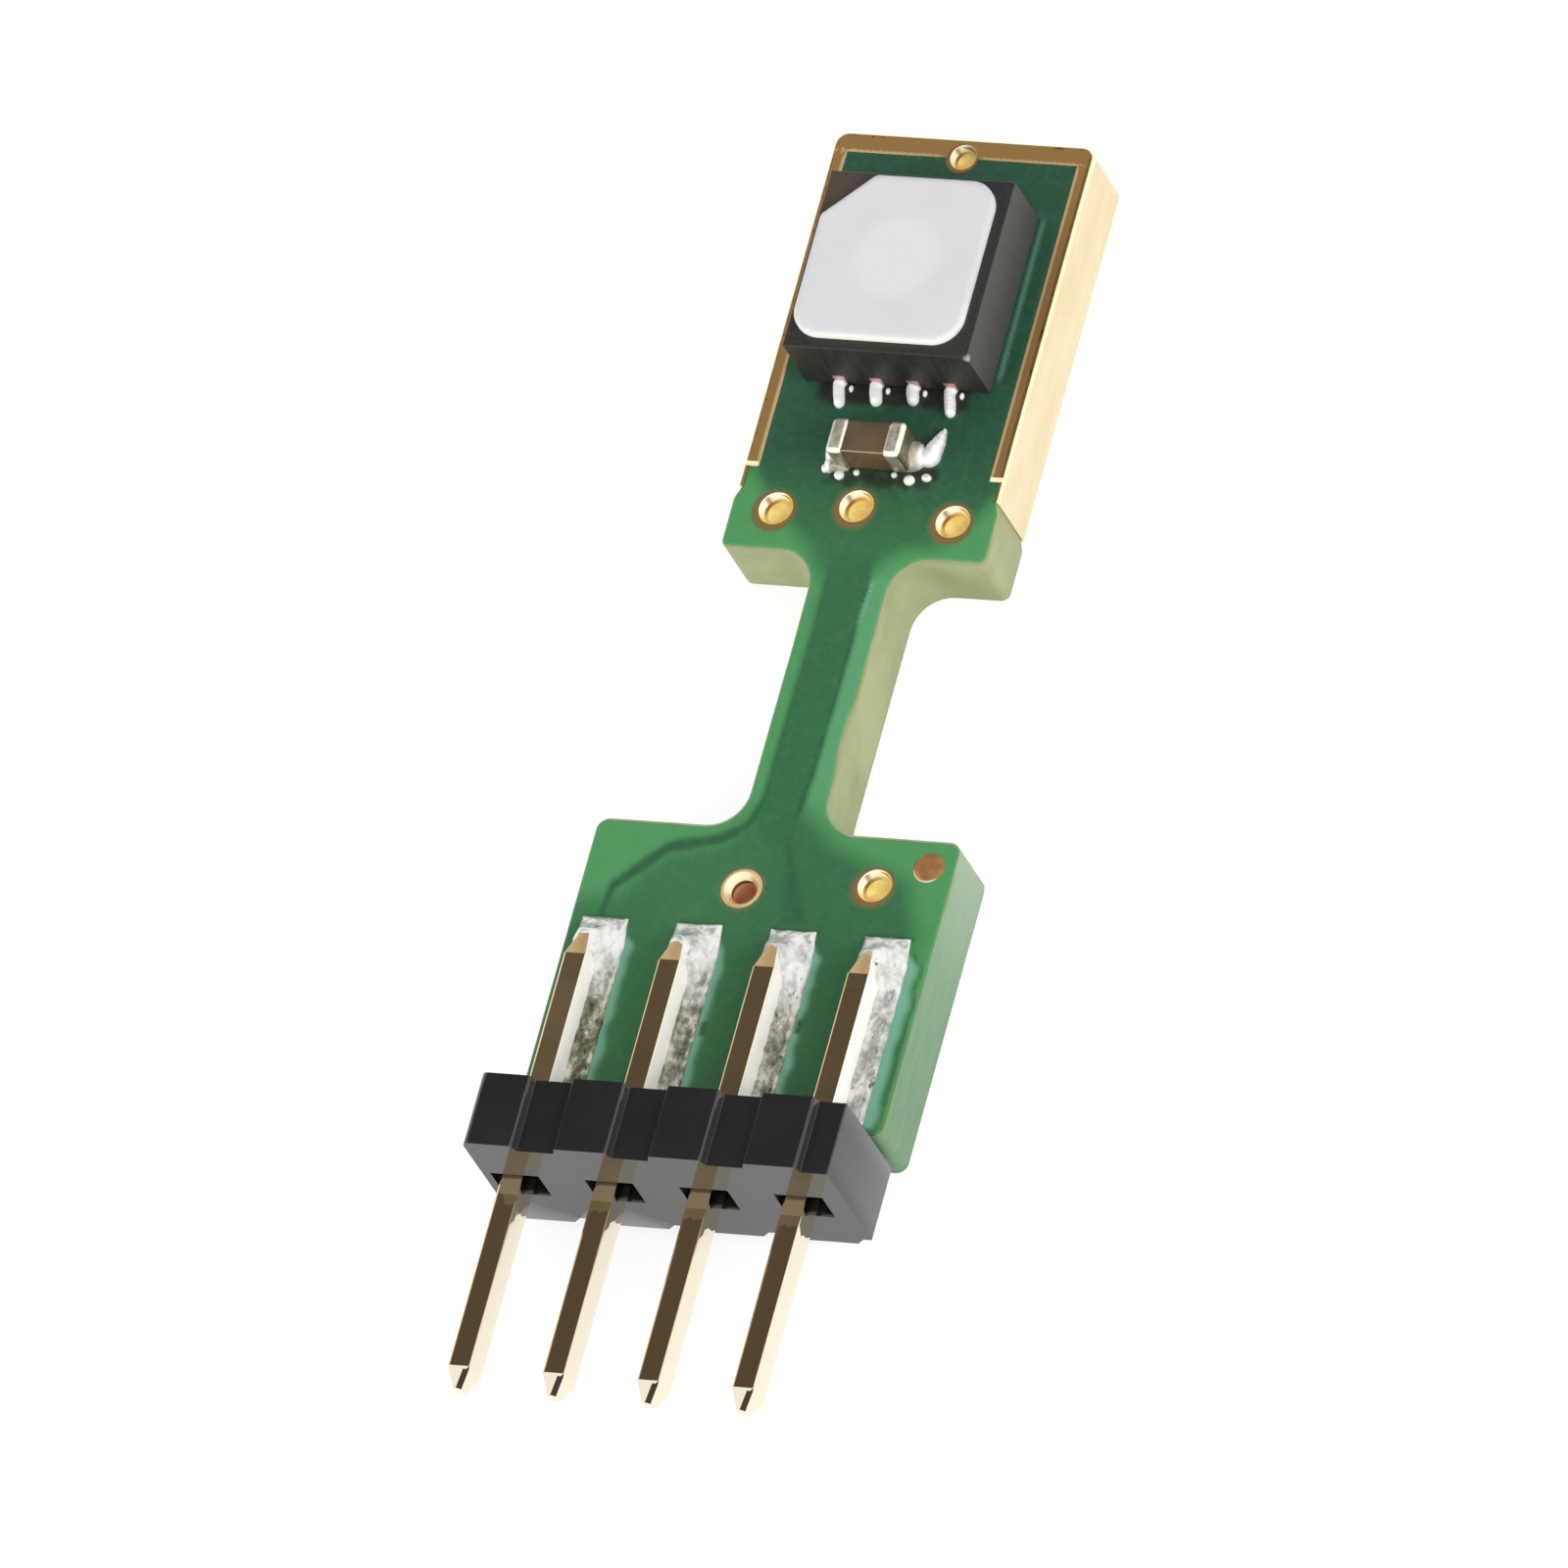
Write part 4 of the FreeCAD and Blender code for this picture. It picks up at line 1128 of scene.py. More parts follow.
@dataclass
class Board:
    """The laminate, its mask, the plated edge of the head and the vias."""

    foot: float = -4.945
    shoulder: float = -0.835
    chin: float = 3.048
    crown: float = 8.901
    base_half: float = 2.457
    neck: tuple[float, float] = (-0.5375, 0.5175)
    head: tuple[float, float] = (-1.803, 1.653)
    flare: float = 0.06
    flare_top: float = 3.742
    wall_foot: float = 3.892
    band_foot: float = 4.192
    side_band: float = 0.168
    tip_band: float = 0.24
    plating: float = 0.026
    plating_lip: float = 0.03
    film: float = 0.03
    top: float = 1.0
    corner: float = 0.16
    heel_corner: float = 0.1
    neck_round: float = 0.5
    rim: float = 0.045
    pads: tuple[float, ...] = (-1.984, -0.714, 0.556, 1.826)
    pad_half: float = 0.3
    pad_span: tuple[float, float] = (-4.815, -2.215)
    lips: tuple[float, ...] = (0.18, 0.17, 0.17, 0.22)
    dot: tuple[float, float, float] = (2.1, -1.205, 0.205)
    plugged: tuple[tuple[float, float], ...] = (
        (-1.268, 3.583), (-0.205, 3.688), (1.13, 3.563), (1.44, -1.535))
    tip_via: tuple[float, float] = (-0.075, 8.657)
    open_via: tuple[float, float] = (-0.29, -1.68)
    ring: float = 0.275
    barrel: float = 0.235
    tip_barrel: float = 0.175
    hole: float = 0.195
    tip_ring: float = 0.215
    dish: float = 0.13
    drift: float = 0.022
    joint_boxes: list[Spot] = field(default_factory=list)

    def corners(self, margin: float, notch: bool = False) -> list[Spot]:
        """Lists the dumbbell's corners, pulled in by a margin.

        Args:
            margin: How far they are pulled in.
            notch: True leaves the plated bands out.

        Returns:
            X, Y and radius of each corner, counter-clockwise.
        """
        left, right = self.head[0] + margin, self.head[1] - margin
        near, far = self.neck[0] + margin, self.neck[1] - margin
        side, foot, shoulder = self.base_half - margin, self.foot + margin, self.shoulder - margin
        chin, crown = self.chin + margin, self.crown - margin
        outer, heel, inner = self.corner - margin, self.heel_corner - margin, self.neck_round + margin
        crest = [(right, crown, outer), (left, crown, outer)]
        if notch:
            in_left, in_right = self.head[0] + self.side_band, self.head[1] - self.side_band
            in_top = self.crown - self.tip_band
            bite = [(x, y, 0) for x, y in self.tip_arc(-1)]
            crest = [(right, self.band_foot, 0), (in_right, self.band_foot, 0), (in_right, in_top, 0), *bite,
                     (in_left, in_top, 0), (in_left, self.band_foot, 0), (left, self.band_foot, 0)]
        return [
            (-side, foot, outer), (side, foot, outer), (side, shoulder, outer), (far, shoulder, inner),
            (far, chin, inner), (right + self.flare, chin, heel), (right + self.flare, self.flare_top, 0),
            (right, self.wall_foot, 0), *crest, (left, self.wall_foot, 0),
            (left - self.flare, self.flare_top, 0), (left - self.flare, chin, heel), (near, chin, inner),
            (near, shoulder, inner), (-side, shoulder, outer),
        ]

    def tip_arc(self, way: int) -> list[tuple[float, float]]:
        """Draws the half circle with which the tip via bites into the band's or the mask's edge.

        Args:
            way: 1 for the half in the band, -1 for the half in the mask.

        Returns:
            Points from right to left.
        """
        radius = self.tip_ring - 0.01
        x, y = self.tip_via
        start = math.asin((self.crown - self.tip_band - y) / radius)
        end = math.pi - start if way > 0 else -math.pi - start
        turns = [start + (end - start) * step / 20 for step in range(21)]
        return [(x + radius * math.cos(turn), y + radius * math.sin(turn)) for turn in turns]

    def via_circles(self, ring: float, tip_ring: float = 0.0) -> list[np.ndarray]:
        """Draws circles round the vias, and round the tip's as well where it gets a radius."""
        spots = [circle(x, y, ring) for x, y in (*self.plugged, self.open_via)]
        return spots + ([circle(*self.tip_via, tip_ring)] if tip_ring else [])

    def laminate(self, material: Finish) -> None:
        """Builds the bare laminate with its routed wall.

        Args:
            material: Glass-epoxy finish.
        """
        outline = divide(rounded(self.corners(0.0)), 0.12)
        low, high, edge = self.film, self.top - self.film, 0.02
        levels = (low, low + edge, 0.25, 0.5, 0.75, high - edge, high)
        plane, triangles, loops = sheet(outline, self.via_circles(self.barrel, self.tip_barrel), 0)
        count, last = len(plane), (len(levels) - 1) * len(plane)
        middle = outline.mean(axis=0)
        rows = []
        for level in levels:
            for index, (x, y) in enumerate(plane):
                push = 0.0
                if index in loops[0]:
                    push = -0.012 if level in (low, high) else 0.006 * noise.noise(Vector((x * 3, y * 3, level * 6)))
                way = np.array((x, y)) - middle
                way = way / max(float(np.linalg.norm(way)), 1e-6)
                rows.append((x + way[0] * push, y + way[1] * push, level))
        faces: list[tuple[int, ...]] = []
        for up in triangles:
            faces += [tuple(last + item for item in up), tuple(reversed(up))]
        for index, loop in enumerate(loops):
            for step in range(0, last, count):
                for start, end in zip(loop, loop[1:] + loop[:1]):
                    wall = (step + start, step + end, step + count + end, step + count + start)
                    faces.append(wall if index == 0 else wall[::-1])
        settle(new_object("laminate_board", rows, faces), material, Slot.BOARD, ["board_laminate"], 50)

    def copper_areas(self) -> list[tuple[np.ndarray, float, float]]:
        """Lists the copper under the front mask.

        Returns:
            Each area's outline, how dark it shows and how soft its edge is.
        """
        left, right = self.head
        head = rounded([
            (-0.3, 1.6, 0), (0.2, 1.6, 0), (0.19, 2.6, 0.4), (0.5, 3.12, 0.4), (1.1, 3.22, 0.3), (1.5, 3.7, 0.3),
            (right + 0.1, 4.15, 0.1), (right + 0.1, self.crown, 0.05), (left - 0.1, self.crown, 0.05),
            (left - 0.1, 4.4, 0.1), (-1.42, 3.75, 0.4), (-0.72, 3.12, 0.4), (-0.35, 2.6, 0.4),
        ], 10)
        neck = rounded([
            (0.3, -1.1, 0.2), (0.2, -0.6, 0.2), (0.245, 0.1, 0), (0.272, 1.4, 0), (0.275, 3.1, 0),
            (-0.37, 3.1, 0), (-0.325, 1.8, 0), (-0.35, -0.1, 0), (-0.4, -0.6, 0.3), (-0.2, -1.1, 0.2),
        ])
        base = rounded([
            (-2.6, -5.1, 0), (2.42, -5.1, 0), (2.42, -3.7, 0.2), (2.22, -2.77, 0.4), (2.17, -2.09, 0.3),
            (1.9, -1.42, 0.3), (0.75, -0.98, 0.4), (0.28, -0.5, 0.4), (-0.36, -0.5, 0.3), (-0.72, -1.05, 0.3),
            (-1.42, -1.25, 0.3), (-1.95, -1.85, 0.3), (-2.6, -2.0, 0.2),
        ])
        stem = rounded([(1.0, -2.3, 0.2), (0.55, -1.3, 0.4), (0.2, -0.6, 0), (-0.2, -0.6, 0), (0.0, -1.3, 0.4),
                        (0.2, -2.3, 0.2)])
        trace = rounded([
            (-2.14, -2.2, 0), (-1.98, -2.2, 0), (-1.93, -1.82, 0.1), (-1.38, -1.28, 0.2), (-0.66, -1.09, 0.3),
            (-0.33, -0.82, 0.3), (-0.25, -0.3, 0.3), (-0.25, 2.6, 0), (-0.33, 2.6, 0), (-0.37, -0.4, 0.3),
            (-0.5, -0.75, 0.3), (-0.75, -0.93, 0.2), (-1.46, -1.1, 0.2), (-2.07, -1.72, 0.15),
        ], 6)
        line = rounded([(0.17, -0.75, 0), (0.23, -0.6, 0), (0.255, 0.1, 0), (0.28, 1.4, 0), (0.28, 2.6, 0),
                        (0.22, 2.6, 0), (0.22, 1.4, 0), (0.195, 0.1, 0), (0.12, -0.6, 0)])
        return [(head, 1.0, 0.16), (neck, 0.8, 0.045), (base, 0.67, 0.2), (stem, 0.9, 0.3), (trace, 0.9, 0.06),
                (line, 0.96, 0.035)]

    def copper(self, points: np.ndarray) -> np.ndarray:
        """Says how dark the front mask shows the copper below it.

        Args:
            points: One point a row.

        Returns:
            0 over bare laminate to 1 over the head's copper.
        """
        shake = 0.02 * waves(points, 0.35)
        shares = [strength * soft(distance(points, loop) + shake, -width, width)
                  for loop, strength, width in self.copper_areas()]
        shares[0] = shares[0] * (1 - 0.28 * (1 - soft(points[:, 1], 2.8, 4.8)))
        shares[2] = shares[2] * (1 + 0.16 * soft(points[:, 0], -1.2, 0.8))
        return np.max(np.array(shares), axis=0)

    def lip_reach(self, points: np.ndarray, number: int) -> np.ndarray:
        """Says how far the lifted mask reaches out on the right of pad `number`, counted from 0."""
        reach = self.lips[number] + 0.06 * waves(points * (0.0, 1.0), 0.3, 3.0 + number)
        return reach * (1 - soft(points[:, 1], self.pad_span[1] - 0.4, self.pad_span[1] - 0.1))

    def lip(self, points: np.ndarray) -> np.ndarray:
        """Says where the front mask is pale: lifted beside the pads and beside the copper's edges, in a line right
        of the package, and in a painted highlight on the neck.

        Args:
            points: One point a row.

        Returns:
            0 to 1 for each point.
        """
        x, y = points[:, 0], points[:, 1]
        total = np.zeros(len(points))
        for number, pad in enumerate(self.pads):
            reach = self.lip_reach(points, number)
            beside = x - (pad + self.pad_half)
            within = (y > self.pad_span[0]) & (y < self.pad_span[1]) & (beside > -0.02)
            total = np.maximum(total, np.where(within, 1 - soft(beside, reach - 0.09, reach + 0.03), 0))
        stripe = 0.55 * span(y, 5.5, 5.7, 7.75, 7.95) * bell(x - 1.24, 0.028)
        strip = 0.2 * span(y, -0.9, 0.1, 2.6, 3.05) * (np.abs(x) < 0.7) * soft(x, 0.26, 0.31)
        slope = 0.25 + 0.05 * (y - 2.1)
        # A painted highlight on the mask's step over the copper's right edge, high on the neck.
        glint = 0.5 * bell(x - slope - 0.03, 0.018) * span(y, 1.9, 2.2, 2.65, 2.75) * (np.abs(x) < 0.5)
        return np.maximum(np.maximum(total * 0.85, stripe), strip + glint)

    def shadow_and_flux(self, points: np.ndarray) -> np.ndarray:
        """Says where painted shadow, with some flux, darkens the front mask.

        Args:
            points: One point a row.

        Returns:
            0 to 1 for each point.
        """
        x, y = points[:, 0], points[:, 1]
        # Painted shadow, with flux, below the sensor's toes, then below the capacitor and its right fillet.
        total = 0.92 * soft(distance(points, box(-1.12, 0.92, 5.14, 5.6)) + 0.03 * waves(points, 0.25, 11.0),
                            -0.06, 0.06)
        ragged = 0.09 * waves(points, 0.14, 13.0)
        areas = [(box(-0.72, 0.72, 4.0, 4.24), 0.8, ragged, -0.03, 0.08),
                 (box(0.4, 0.76, 4.16, 4.36), 0.95, ragged, -0.03, 0.08)]
        # Painted shade: a dark line above each pad, and two specks between the pads.
        high = self.pad_span[1]
        areas += [(box(pad - self.pad_half, pad + self.pad_half + 0.04, high - 0.02, high + 0.04), 0.5, 0.0, -0.02,
                   0.015) for pad in self.pads]
        areas += [(box(at - 0.04, at + 0.04, up - 0.1, up + 0.1), 0.75, 0.0, -0.02, 0.02)
                  for at, up in ((-0.283, -3.649), (0.976, -3.525))]
        for area, share, shake, low, full in areas:
            total = np.maximum(total, share * soft(distance(points, area) + shake, low, full))
        # Painted shade along the band's inner edge on the right, and a painted shadow line beyond the last pad's
        # lifted mask.
        window = box(self.head[0] + self.side_band, self.head[1] - self.side_band, -9.0, self.crown - self.tip_band)
        total = np.maximum(total, 0.4 * bell(distance(points, window), 0.02) * (y > self.band_foot) * (x > 0))
        beyond = x - (self.pads[-1] + self.pad_half) - self.lip_reach(points, 3)
        return np.maximum(total, np.where((y > -4.5) & (y < -2.4), 0.5 * bell(beyond - 0.03, 0.022), 0))

    def via_rims(self, points: np.ndarray) -> np.ndarray:
        """Says where the mask thins out round a via.

        Args:
            points: One point a row.

        Returns:
            0 to 0.8 for each point.
        """
        total = np.zeros(len(points))
        for x, y in (*self.plugged, self.open_via):
            away = np.hypot(points[:, 0] - x, points[:, 1] - y)
            total = np.maximum(total, 1 - soft(away, self.ring, self.ring + 0.055))
        return total * 0.8

    def front_mask(self, material: Finish) -> None:
        """Builds the front mask, raised and darker over copper and pulled up round the pads.

        Args:
            material: Solder mask finish.
        """
        outline = divide(rounded(self.corners(self.rim * 0.4, True), 10), 0.06)
        side = np.abs(outline[:, 0] - self.neck[1] + self.rim * 0.4) < 0.004
        outline[:, 0] -= np.where(side, 0.045 * span(outline[:, 1], -0.1, 0.4, 0.75, 1.05), 0)
        low, high = self.pad_span
        holes = self.via_circles(self.ring - 0.01)
        holes += [np.array(((x - self.pad_half, low), (x + self.pad_half + 0.03, low),
                            (x + self.pad_half + 0.03, -2.55), (x + self.pad_half, high),
                            (x - self.pad_half, high))) for x in self.pads]
        holes += [box(*joint) for joint in self.joint_boxes] + [circle(*self.dot)]

        def top(points: np.ndarray) -> np.ndarray:
            """Gives the mask's height, rounded down at its edge."""
            fall = np.clip(1 - distance(points, outline) / 0.05, 0, 1)
            height = self.top - 0.014 + 0.014 * self.copper(points) + 0.006 * self.lip(points)
            return height - 0.014 * (1 - np.sqrt(1 - fall ** 2 * 0.98)) + 0.0012 * waves(points, 0.5, 7.0)

        numbers = {"copper": self.copper, "shadow_and_flux": self.shadow_and_flux, "lip": self.lip, "rim": self.via_rims}
        mask = height_piece("mask_front", outline, holes, 0.045, top, self.top - self.film, numbers,
                            (0.012, 0.03, 0.055))
        settle(mask, material, Slot.MASK, ["solder_mask_front", "ground_copper", "data_trace"], 60)

    def rear_mask(self, material: Finish) -> None:
        """Builds the rear mask, flat on the floor.

        Args:
            material: Solder mask finish.
        """
        outline = rounded(self.corners(self.rim * 0.4, True))

        def copper(points: np.ndarray) -> np.ndarray:
            """Darkens all but a margin along the outline."""
            return 0.75 * soft(distance(points, outline) + 0.02 * waves(points, 0.4, 5.0), 0.12, 0.2)

        mask = height_piece("mask_rear", outline, self.via_circles(self.ring), 0.09, self.film, 0.0,
                            {"copper": copper})
        settle(mask, material, Slot.MASK, ["solder_mask_rear"], 60)

    def plated_edge(self, material: Finish) -> None:
        """Builds the gold wall of the head and the bands that wrap round onto both faces.

        Args:
            material: Gold finish.
        """
        left, right = self.head
        front = self.top + 0.004
        in_left, in_right, in_top = left + self.side_band, right - self.side_band, self.crown - self.tip_band
        inner = [(in_left, self.band_foot), (in_left, in_top), *reversed(self.tip_arc(1)),
                 (in_right, in_top), (in_right, self.band_foot)]
        crest = rounded([(right, self.crown, self.corner), (left, self.crown, self.corner),
                         (left, self.crown - 1, 0), (right, self.crown - 1, 0)], 10)[:-2]
        outline = np.vstack(([(right, self.band_foot)], crest, [(left, self.band_foot)], inner))
        pieces = [
            height_piece("band_front", outline, [], 0.06, lambda points: front + 0.0015 * waves(points, 0.3, 9.0),
                         self.top - self.film, rings=(0.018, 0.04)),
            height_piece("band_rear", outline, [], 0.12, self.film, 0.0),
        ]
        for start in (left - 0.01, in_right + 0.01):
            step = box(start, start + self.side_band, self.band_foot - 0.01, self.band_foot + 0.045)
            pieces.append(height_piece("band_step", step, [], 0, self.top + 0.016, self.top - 0.02))
        path = np.vstack(([(right, self.wall_foot)], crest, [(left, self.wall_foot)]))
        ahead = np.gradient(path, axis=0)
        ahead /= np.linalg.norm(ahead, axis=1)[:, None]
        ahead[0], ahead[-1] = (0, 1), (0, -1)
        out = np.stack((ahead[:, 1], -ahead[:, 0]), axis=1)
        lip, wall = self.plating_lip, self.plating
        turns = [step * math.pi / 8 for step in range(5)]
        bright = front - lip - 0.03
        section = [(-0.03, 0.0), (wall - 0.014, 0.0), (wall, 0.014), (wall, bright),
                   *((wall - lip * (1 - math.cos(turn)), front - lip * (1 - math.sin(turn))) for turn in turns),
                   (-0.03, front)]
        pieces.append(stack("wall", [
            [(point[0] + way[0] * push, point[1] + way[1] * push, height) for push, height in reversed(section)]
            for point, way in zip(path, out)]))
        plating = merge("plated_edge", pieces)

        def on_front(centre: Vector, normal: Vector) -> bool:
            """Tells whether a face lies on the front band, below its end steps."""
            return normal.z > 0.97 and centre.z < self.top + 0.012

        def wear_and_sheen(centre: Vector, normal: Vector) -> float:
            """Browns the flat band."""
            across = left + 0.004 < centre.x < right - 0.004
            return float(on_front(centre, normal) and across and centre.y < self.crown - 0.004)

        def lit(centre: Vector, normal: Vector) -> float:
            """Brightens the rounded lip and the end steps, and faintly the band's inner line."""
            rounding = 0.25 < normal.z < 0.97 and centre.z > 0.9
            wall_top = abs(normal.z) < 0.25 and centre.z > bright
            if rounding or wall_top or centre.z > self.top + 0.012:
                return 1.0
            beside = min(centre.x - in_right, in_left - centre.x, key=abs)
            above = centre.y - in_top
            by_side = -0.001 < beside < 0.034 and above < 0.034
            by_tip = -0.001 < above < 0.026 and abs(centre.x - self.tip_via[0]) > 0.25
            return 0.32 * float(normal.z > 0.97 and centre.z > 0.9 and (by_side or by_tip))

        def shade(centre: Vector, normal: Vector) -> float:
            """Darkens a line inside the lip on the right."""
            return 0.4 * float(on_front(centre, normal) and centre.z > 0.9 and right - 0.036 < centre.x < right)

        for label, rule in (("wear_and_sheen", wear_and_sheen), ("lit", lit), ("shade", shade)):
            mark(plating, label, rule)
        settle(plating, material, Slot.PLATING, ["edge_plating"], 30, even=True)

    def vias(self, gold: Finish, dull: Finish) -> None:
        """Builds the plugged vias as copies of one, and the open one by itself.

        Args:
            gold: Finish of the plugged vias.
            dull: Finish of the open one.
        """
        top, hole = self.top, self.hole
        floor, rim = top - self.dish, self.hole + 0.03

        def around(centre: Vector) -> float:
            """Gives the direction from the dish's middle in degrees."""
            return math.degrees(math.atan2(centre.y - self.drift, centre.x - self.drift)) % 360

        def facing(low: float) -> Rule:
            """Brightens the dish's wall above `low` where it faces the lower right."""
            def rule(centre: Vector, normal: Vector) -> float:
                """Gives 0 to 1 for a face."""
                within = low < centre.z < top + 0.004 and math.hypot(centre.x, centre.y) < self.ring - 0.02
                towards = (normal.x - normal.y) / math.sqrt(2)
                return float(np.clip(2.6 * towards - 0.4, 0, 1)) if within else 0.0
            return rule

        def crescent(centre: Vector, normal: Vector) -> float:
            """Paints shade: a dark stripe in the dish's wall and a crescent on its floor."""
            on_wall = floor + 0.005 < centre.z < top - 0.006
            stripe = 0.75 * math.exp(-((around(centre) - 138) / 11) ** 2) if on_wall else 0.0
            away = math.hypot(centre.x - self.drift, centre.y - self.drift)
            on_floor = hole - 0.06 < away < hole and abs(centre.z - floor) < 0.012
            return max(stripe, 0.9 * float(on_floor) * math.exp(-((around(centre) - 155) / 58) ** 2))

        def throat(centre: Vector, normal: Vector) -> float:
            """Paints shade on the far side of the open via's throat."""
            deep = top - 0.17 < centre.z < top - 0.1 and math.hypot(centre.x, centre.y) < hole
            return 0.8 * float(deep and 60 < around(centre) < 220)

        crown = [(self.ring, top - 0.02), (self.ring - 0.004, top + 0.002), (self.ring - 0.012, top + 0.005)]
        plug = [(rim, top + 0.005), (rim - 0.01, top - 0.004), (hole, floor + 0.01), (hole - 0.022, floor),
                (hole - 0.045, floor + 0.001), (hole - 0.1, floor + 0.002), (0.0, floor + 0.006)]
        rear = [(0.0, self.dish), (hole - 0.02, self.dish), (hole, self.dish - 0.02), (hole, 0.0),
                (self.ring, 0.0), (self.ring, 0.03)]
        barrel = [(self.barrel, 0.03), (self.barrel, top - 0.02)]
        piece = lathe("via", rear + barrel + crown + plug)
        mark(piece, "wear_and_sheen", lambda centre, normal: float(math.hypot(centre.x, centre.y) > rim - 0.004))
        for vertex in piece.data.vertices:
            if vertex.co.z > floor - 0.05 and math.hypot(vertex.co.x, vertex.co.y) < rim + 0.004:
                vertex.co.x += self.drift
                vertex.co.y += self.drift
        mark(piece, "lit", facing(floor + 0.005))
        mark(piece, "shade", crescent)
        shrink = self.tip_ring / self.ring
        spots = [(x, y, 0.0, 1.0, 1.0, 1.0) for x, y in self.plugged] + [(*self.tip_via, 0.0, shrink, shrink, 1.0)]
        names = ["via_head_left", "via_head_middle", "via_head_right", "via_base_right", "via_head_tip"]
        settle(repeat("plugged_vias", piece, gold, spots), gold, Slot.PLATING, names, 50)
        tube = [(rim + 0.01, top + 0.005), (rim - 0.004, top - 0.006), (hole - 0.02, top - 0.075),
                *((hole - 0.03, height) for height in (top - 0.1, top - 0.17, 0.02, 0.0)),
                (self.ring, 0.0), (self.ring, 0.03)]
        hollow = lathe("open_via", crown + tube + barrel, True)
        mark(hollow, "wear_and_sheen", lambda centre, normal: float(centre.z < top - 0.1))
        mark(hollow, "lit", facing(top - 0.09))
        mark(hollow, "shade", throat)
        hollow.data.transform(Matrix.Translation((*self.open_via, 0.0)))
        settle(hollow, dull, Slot.PLATING, ["via_base_left"], 50)

    def copper_dot(self, material: Finish) -> None:
        """Builds the bare copper dot, slightly domed.

        Args:
            material: Bare copper finish.
        """
        x, y, radius = self.dot

        def away(points: np.ndarray) -> np.ndarray:
            """Measures the distance from the dot's middle."""
            return np.hypot(points[:, 0] - x, points[:, 1] - y)

        def top(points: np.ndarray) -> np.ndarray:
            """Gives the dot's height, lower at its edge."""
            return self.top - 0.004 - 0.012 * np.clip(away(points) / radius, 0, 1) ** 6

        def edge(points: np.ndarray) -> np.ndarray:
            """Paints a highlight on the edge, on its lower side only."""
            below = (points[:, 1] - y + 0.3 * (points[:, 0] - x)) / radius
            return soft(away(points), radius - 0.035, radius - 0.01) * (1 - soft(below, -0.75, -0.35))

        dot = height_piece("copper_spot", circle(x, y, radius), [], 0.03, top, self.top - self.film,
                           {"edge": edge}, (0.012, 0.03))
        settle(dot, material, Slot.COPPER, ["copper_dot"], 60)

    def build(self) -> None:
        """Builds every piece of the board."""
        mask = SolderMask().make()
        self.laminate(GlassEpoxy().make())
        self.front_mask(mask)
        self.rear_mask(mask)
        # The band and wall: polished, with a grain along the board, and browner on the flat.
        self.plated_edge(Gold(pale="#f6e8c4", deep="#efd8aa", smooth=0.1, rough=0.22, streak=(1, 3, 1), pit=0.0008,
                              wear_and_sheen="#d9ab6c", worn_rough=0.52, lit="#fff2c0").make())
        # The plugged vias: satin, deep yellow. The open one: paler, with painted shade in its throat.
        satin = Gold("via_gold_satin", "#fff09c", "#f8c860", 0.3, 0.4, pit=0.0, metal=0.05, wear_and_sheen="#7d6034",
                     lit="#fffbe4", shade="#6b4208", cell=0.13)
        pale = Gold("via_gold_open", "#ecd0a4", "#d8b07c", 0.25, 0.35, pit=0.0, metal=0.3, wear_and_sheen="#efbf90",
                    lit="#fff4cc", shade="#2e1404")
        self.vias(satin.make(), pale.make())
        self.copper_dot(BareCopper().make())


# ---------------------------------------------------------------- pins and header


